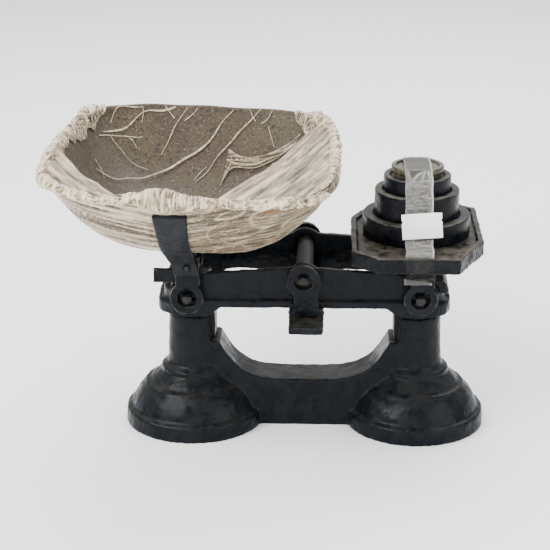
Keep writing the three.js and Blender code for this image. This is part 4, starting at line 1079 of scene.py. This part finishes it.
def tape_strip(name, body, node, route, streaks, cross, bare, seed):
    """A tape along a route of (y, z) points, its width in x. streaks are painted highlights: bright bands
    that slant across it, raised a little as folds, each (share of the length, place across, slant, strength);
    cross is (start, end) of a stretch of fine cross wrinkles; bare is the stretch pressed so flat that it
    hardly shows."""
    line = smooth_line(route, 190)
    normal = np.stack([np.gradient(line[:, 1]), -np.gradient(line[:, 0])], -1)
    normal /= np.linalg.norm(normal, axis=1, keepdims=True)
    across = np.linspace(-1, 1, 60)[None, :]
    share = np.linspace(0, 1, 190)[:, None]
    # painted highlights along both edges, which are also raised a little
    folds = 0.75 * np.exp(-(((across - 0.92) / 0.07) ** 2)) + 0.3 * np.exp(-(((across + 0.95) / 0.05) ** 2))
    for start, place, slant, strength in streaks:
        down = share - start
        width = 0.05 + 0.9 * np.clip(down, 0, 1)
        fold = np.exp(-(((across - place - slant * down) / width) ** 2)) * (down > 0)
        folds = np.maximum(folds, strength * fold * np.exp(-5 * np.clip(down, 0, 1)))
    wrinkles = ridges(together(share * 0.10, 0.0012 * across), seed, 0.006, 0.0025, 4, 0.30)
    within = np.clip((share - cross[0]) / 0.03, 0, 1) * np.clip((cross[1] - share) / 0.03, 0, 1)
    folds = np.maximum(folds, 0.45 * within * wrinkles)
    centre = (weight_boxes[0][0].x + weight_boxes[0][1].x) / 2
    edge = 0.0003 * waves(together(share * 0.1, 0.0), seed, 6, 0.05, 0.01)
    x = centre + across * TAPE_HALF + edge
    y = line[:, :1] - normal[:, :1] * TAPE_FOLD * folds
    z = line[:, 1:] - normal[:, 1:] * TAPE_FOLD * folds
    pressed = np.clip((share - bare[0]) / 0.03, 0, 1) * np.clip((bare[1] - share) / 0.01, 0, 1)
    folds = folds * (1 - pressed) - 0.97 * pressed
    made = film_piece(name, together(x, y, z), folds)
    made.data.materials.append(tape)
    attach(made, body)
    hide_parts(node)
    return made


radii = [(high.y - low.y) / 2 for low, high in weight_boxes]
tops = [high.z for low, high in weight_boxes]
upper_route = [(radii[3] - 0.003, tops[3] + TAPE_GAP), (0.0, tops[3] + TAPE_GAP)]
upper_route += [(-radii[3] + 0.003, tops[3] + TAPE_GAP), (-radii[3] - TAPE_GAP, tops[3] - 0.001)]
upper_route += [(-r - TAPE_GAP, top - 0.0005) for r, top in zip(radii[2::-1], tops[2::-1])]
upper_route += [(-radii[0] - TAPE_GAP - 0.0008, tops[0] - 0.007)]
# painted highlight streaks that slant down the upper tape
TAPE_HIGHLIGHT_STREAKS = [(0.37, 0.55, -6.0, 0.95), (0.37, 0.6, -2.6, 0.8)]
TAPE_HIGHLIGHT_STREAKS += [(0.37, 0.65, 0.8, 0.9), (0.38, -0.8, 0.4, 0.6)]
upper_tape = tape_strip(
    "tape_over_weights", "quarter_pound", "tape_upper", upper_route, TAPE_HIGHLIGHT_STREAKS, (0.5, 1.0), (1.5, 2.0), 161
)
tray_low, tray_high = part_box("weight_plate")
low_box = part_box("tape_lower")
lower_route = [(-radii[0] - 0.0032, low_box[1].z), (-0.070, (low_box[1].z + tray_high.z) / 2 - 0.001)]
lower_route += [(-0.0855, tray_high.z + TAPE_GAP), (tray_low.y - TAPE_GAP, tray_high.z - 0.001)]
lower_route += [(tray_low.y - TAPE_GAP, tray_low.z + 0.001), (low_box[1].y - 0.030, tray_low.z - 0.007)]
lower_route += [(-0.0668, low_box[0].z + 0.006), (-0.0664, low_box[0].z)]
# a painted highlight streak on the lower tape
TRAY_HIGHLIGHT_STREAKS = [(0.02, -0.4, 1.5, 0.4)]
lower_tape = tape_strip(
    "tape_over_tray", "weight_carrier", "tape_lower", lower_route, TRAY_HIGHLIGHT_STREAKS, (0, 0.25), (0.27, 0.72), 162
)

# ---- Blank tag ----
# A small white label of coated card, notched at both sides and left blank. It is stuck across the tape and
# bows forward a little in the middle.
tag_low, tag_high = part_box("blank_tag")
TAG_HALF = (0.018, 0.0117)
TAG_TURN = math.radians(4.0)
tag_u = np.linspace(-1, 1, 60)[None, :]
tag_v = np.linspace(-1, 1, 44)[:, None]
notch = 0.0011 * np.exp(-(((tag_v - 0.42) / 0.09) ** 2))
tag_x = tag_u * (TAG_HALF[0] - notch)
tag_z = tag_v * TAG_HALF[1]
tag_y = 0.0016 * (1 - tag_u**2) * (0.4 + 0.3 * tag_v) - 0.0008
tag_centre = (tag_low + tag_high) / 2
tag_points = together(
    tag_centre.x + tag_x * math.cos(TAG_TURN) - tag_z * math.sin(TAG_TURN),
    tag_centre.y + tag_y,
    tag_centre.z + tag_x * math.sin(TAG_TURN) + tag_z * math.cos(TAG_TURN),
)
tag = film_piece("white_tag", tag_points, np.zeros(tag_x.shape))
card, card_tree, card_shader = new_material("coated_card", Specular_IOR_Level=0.5, Coat_Weight=0.15)
card_noise = noise(card_tree, 900.0, 4.0)
card_colour = blend_colour(card_tree, card_noise, (0.86, 0.86, 0.85), (0.93, 0.93, 0.93))
card_rough = ramp(card_tree, card_noise, 0.0, 1.0, 0.4, 0.6)
feed(card_tree, card_shader, Base_Color=card_colour, Roughness=card_rough)
add_bump(card_tree, card_shader, card_noise, 0.15, 0.0001)
tag.data.materials.append(card)
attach(tag, "quarter_pound")
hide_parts("blank_tag")
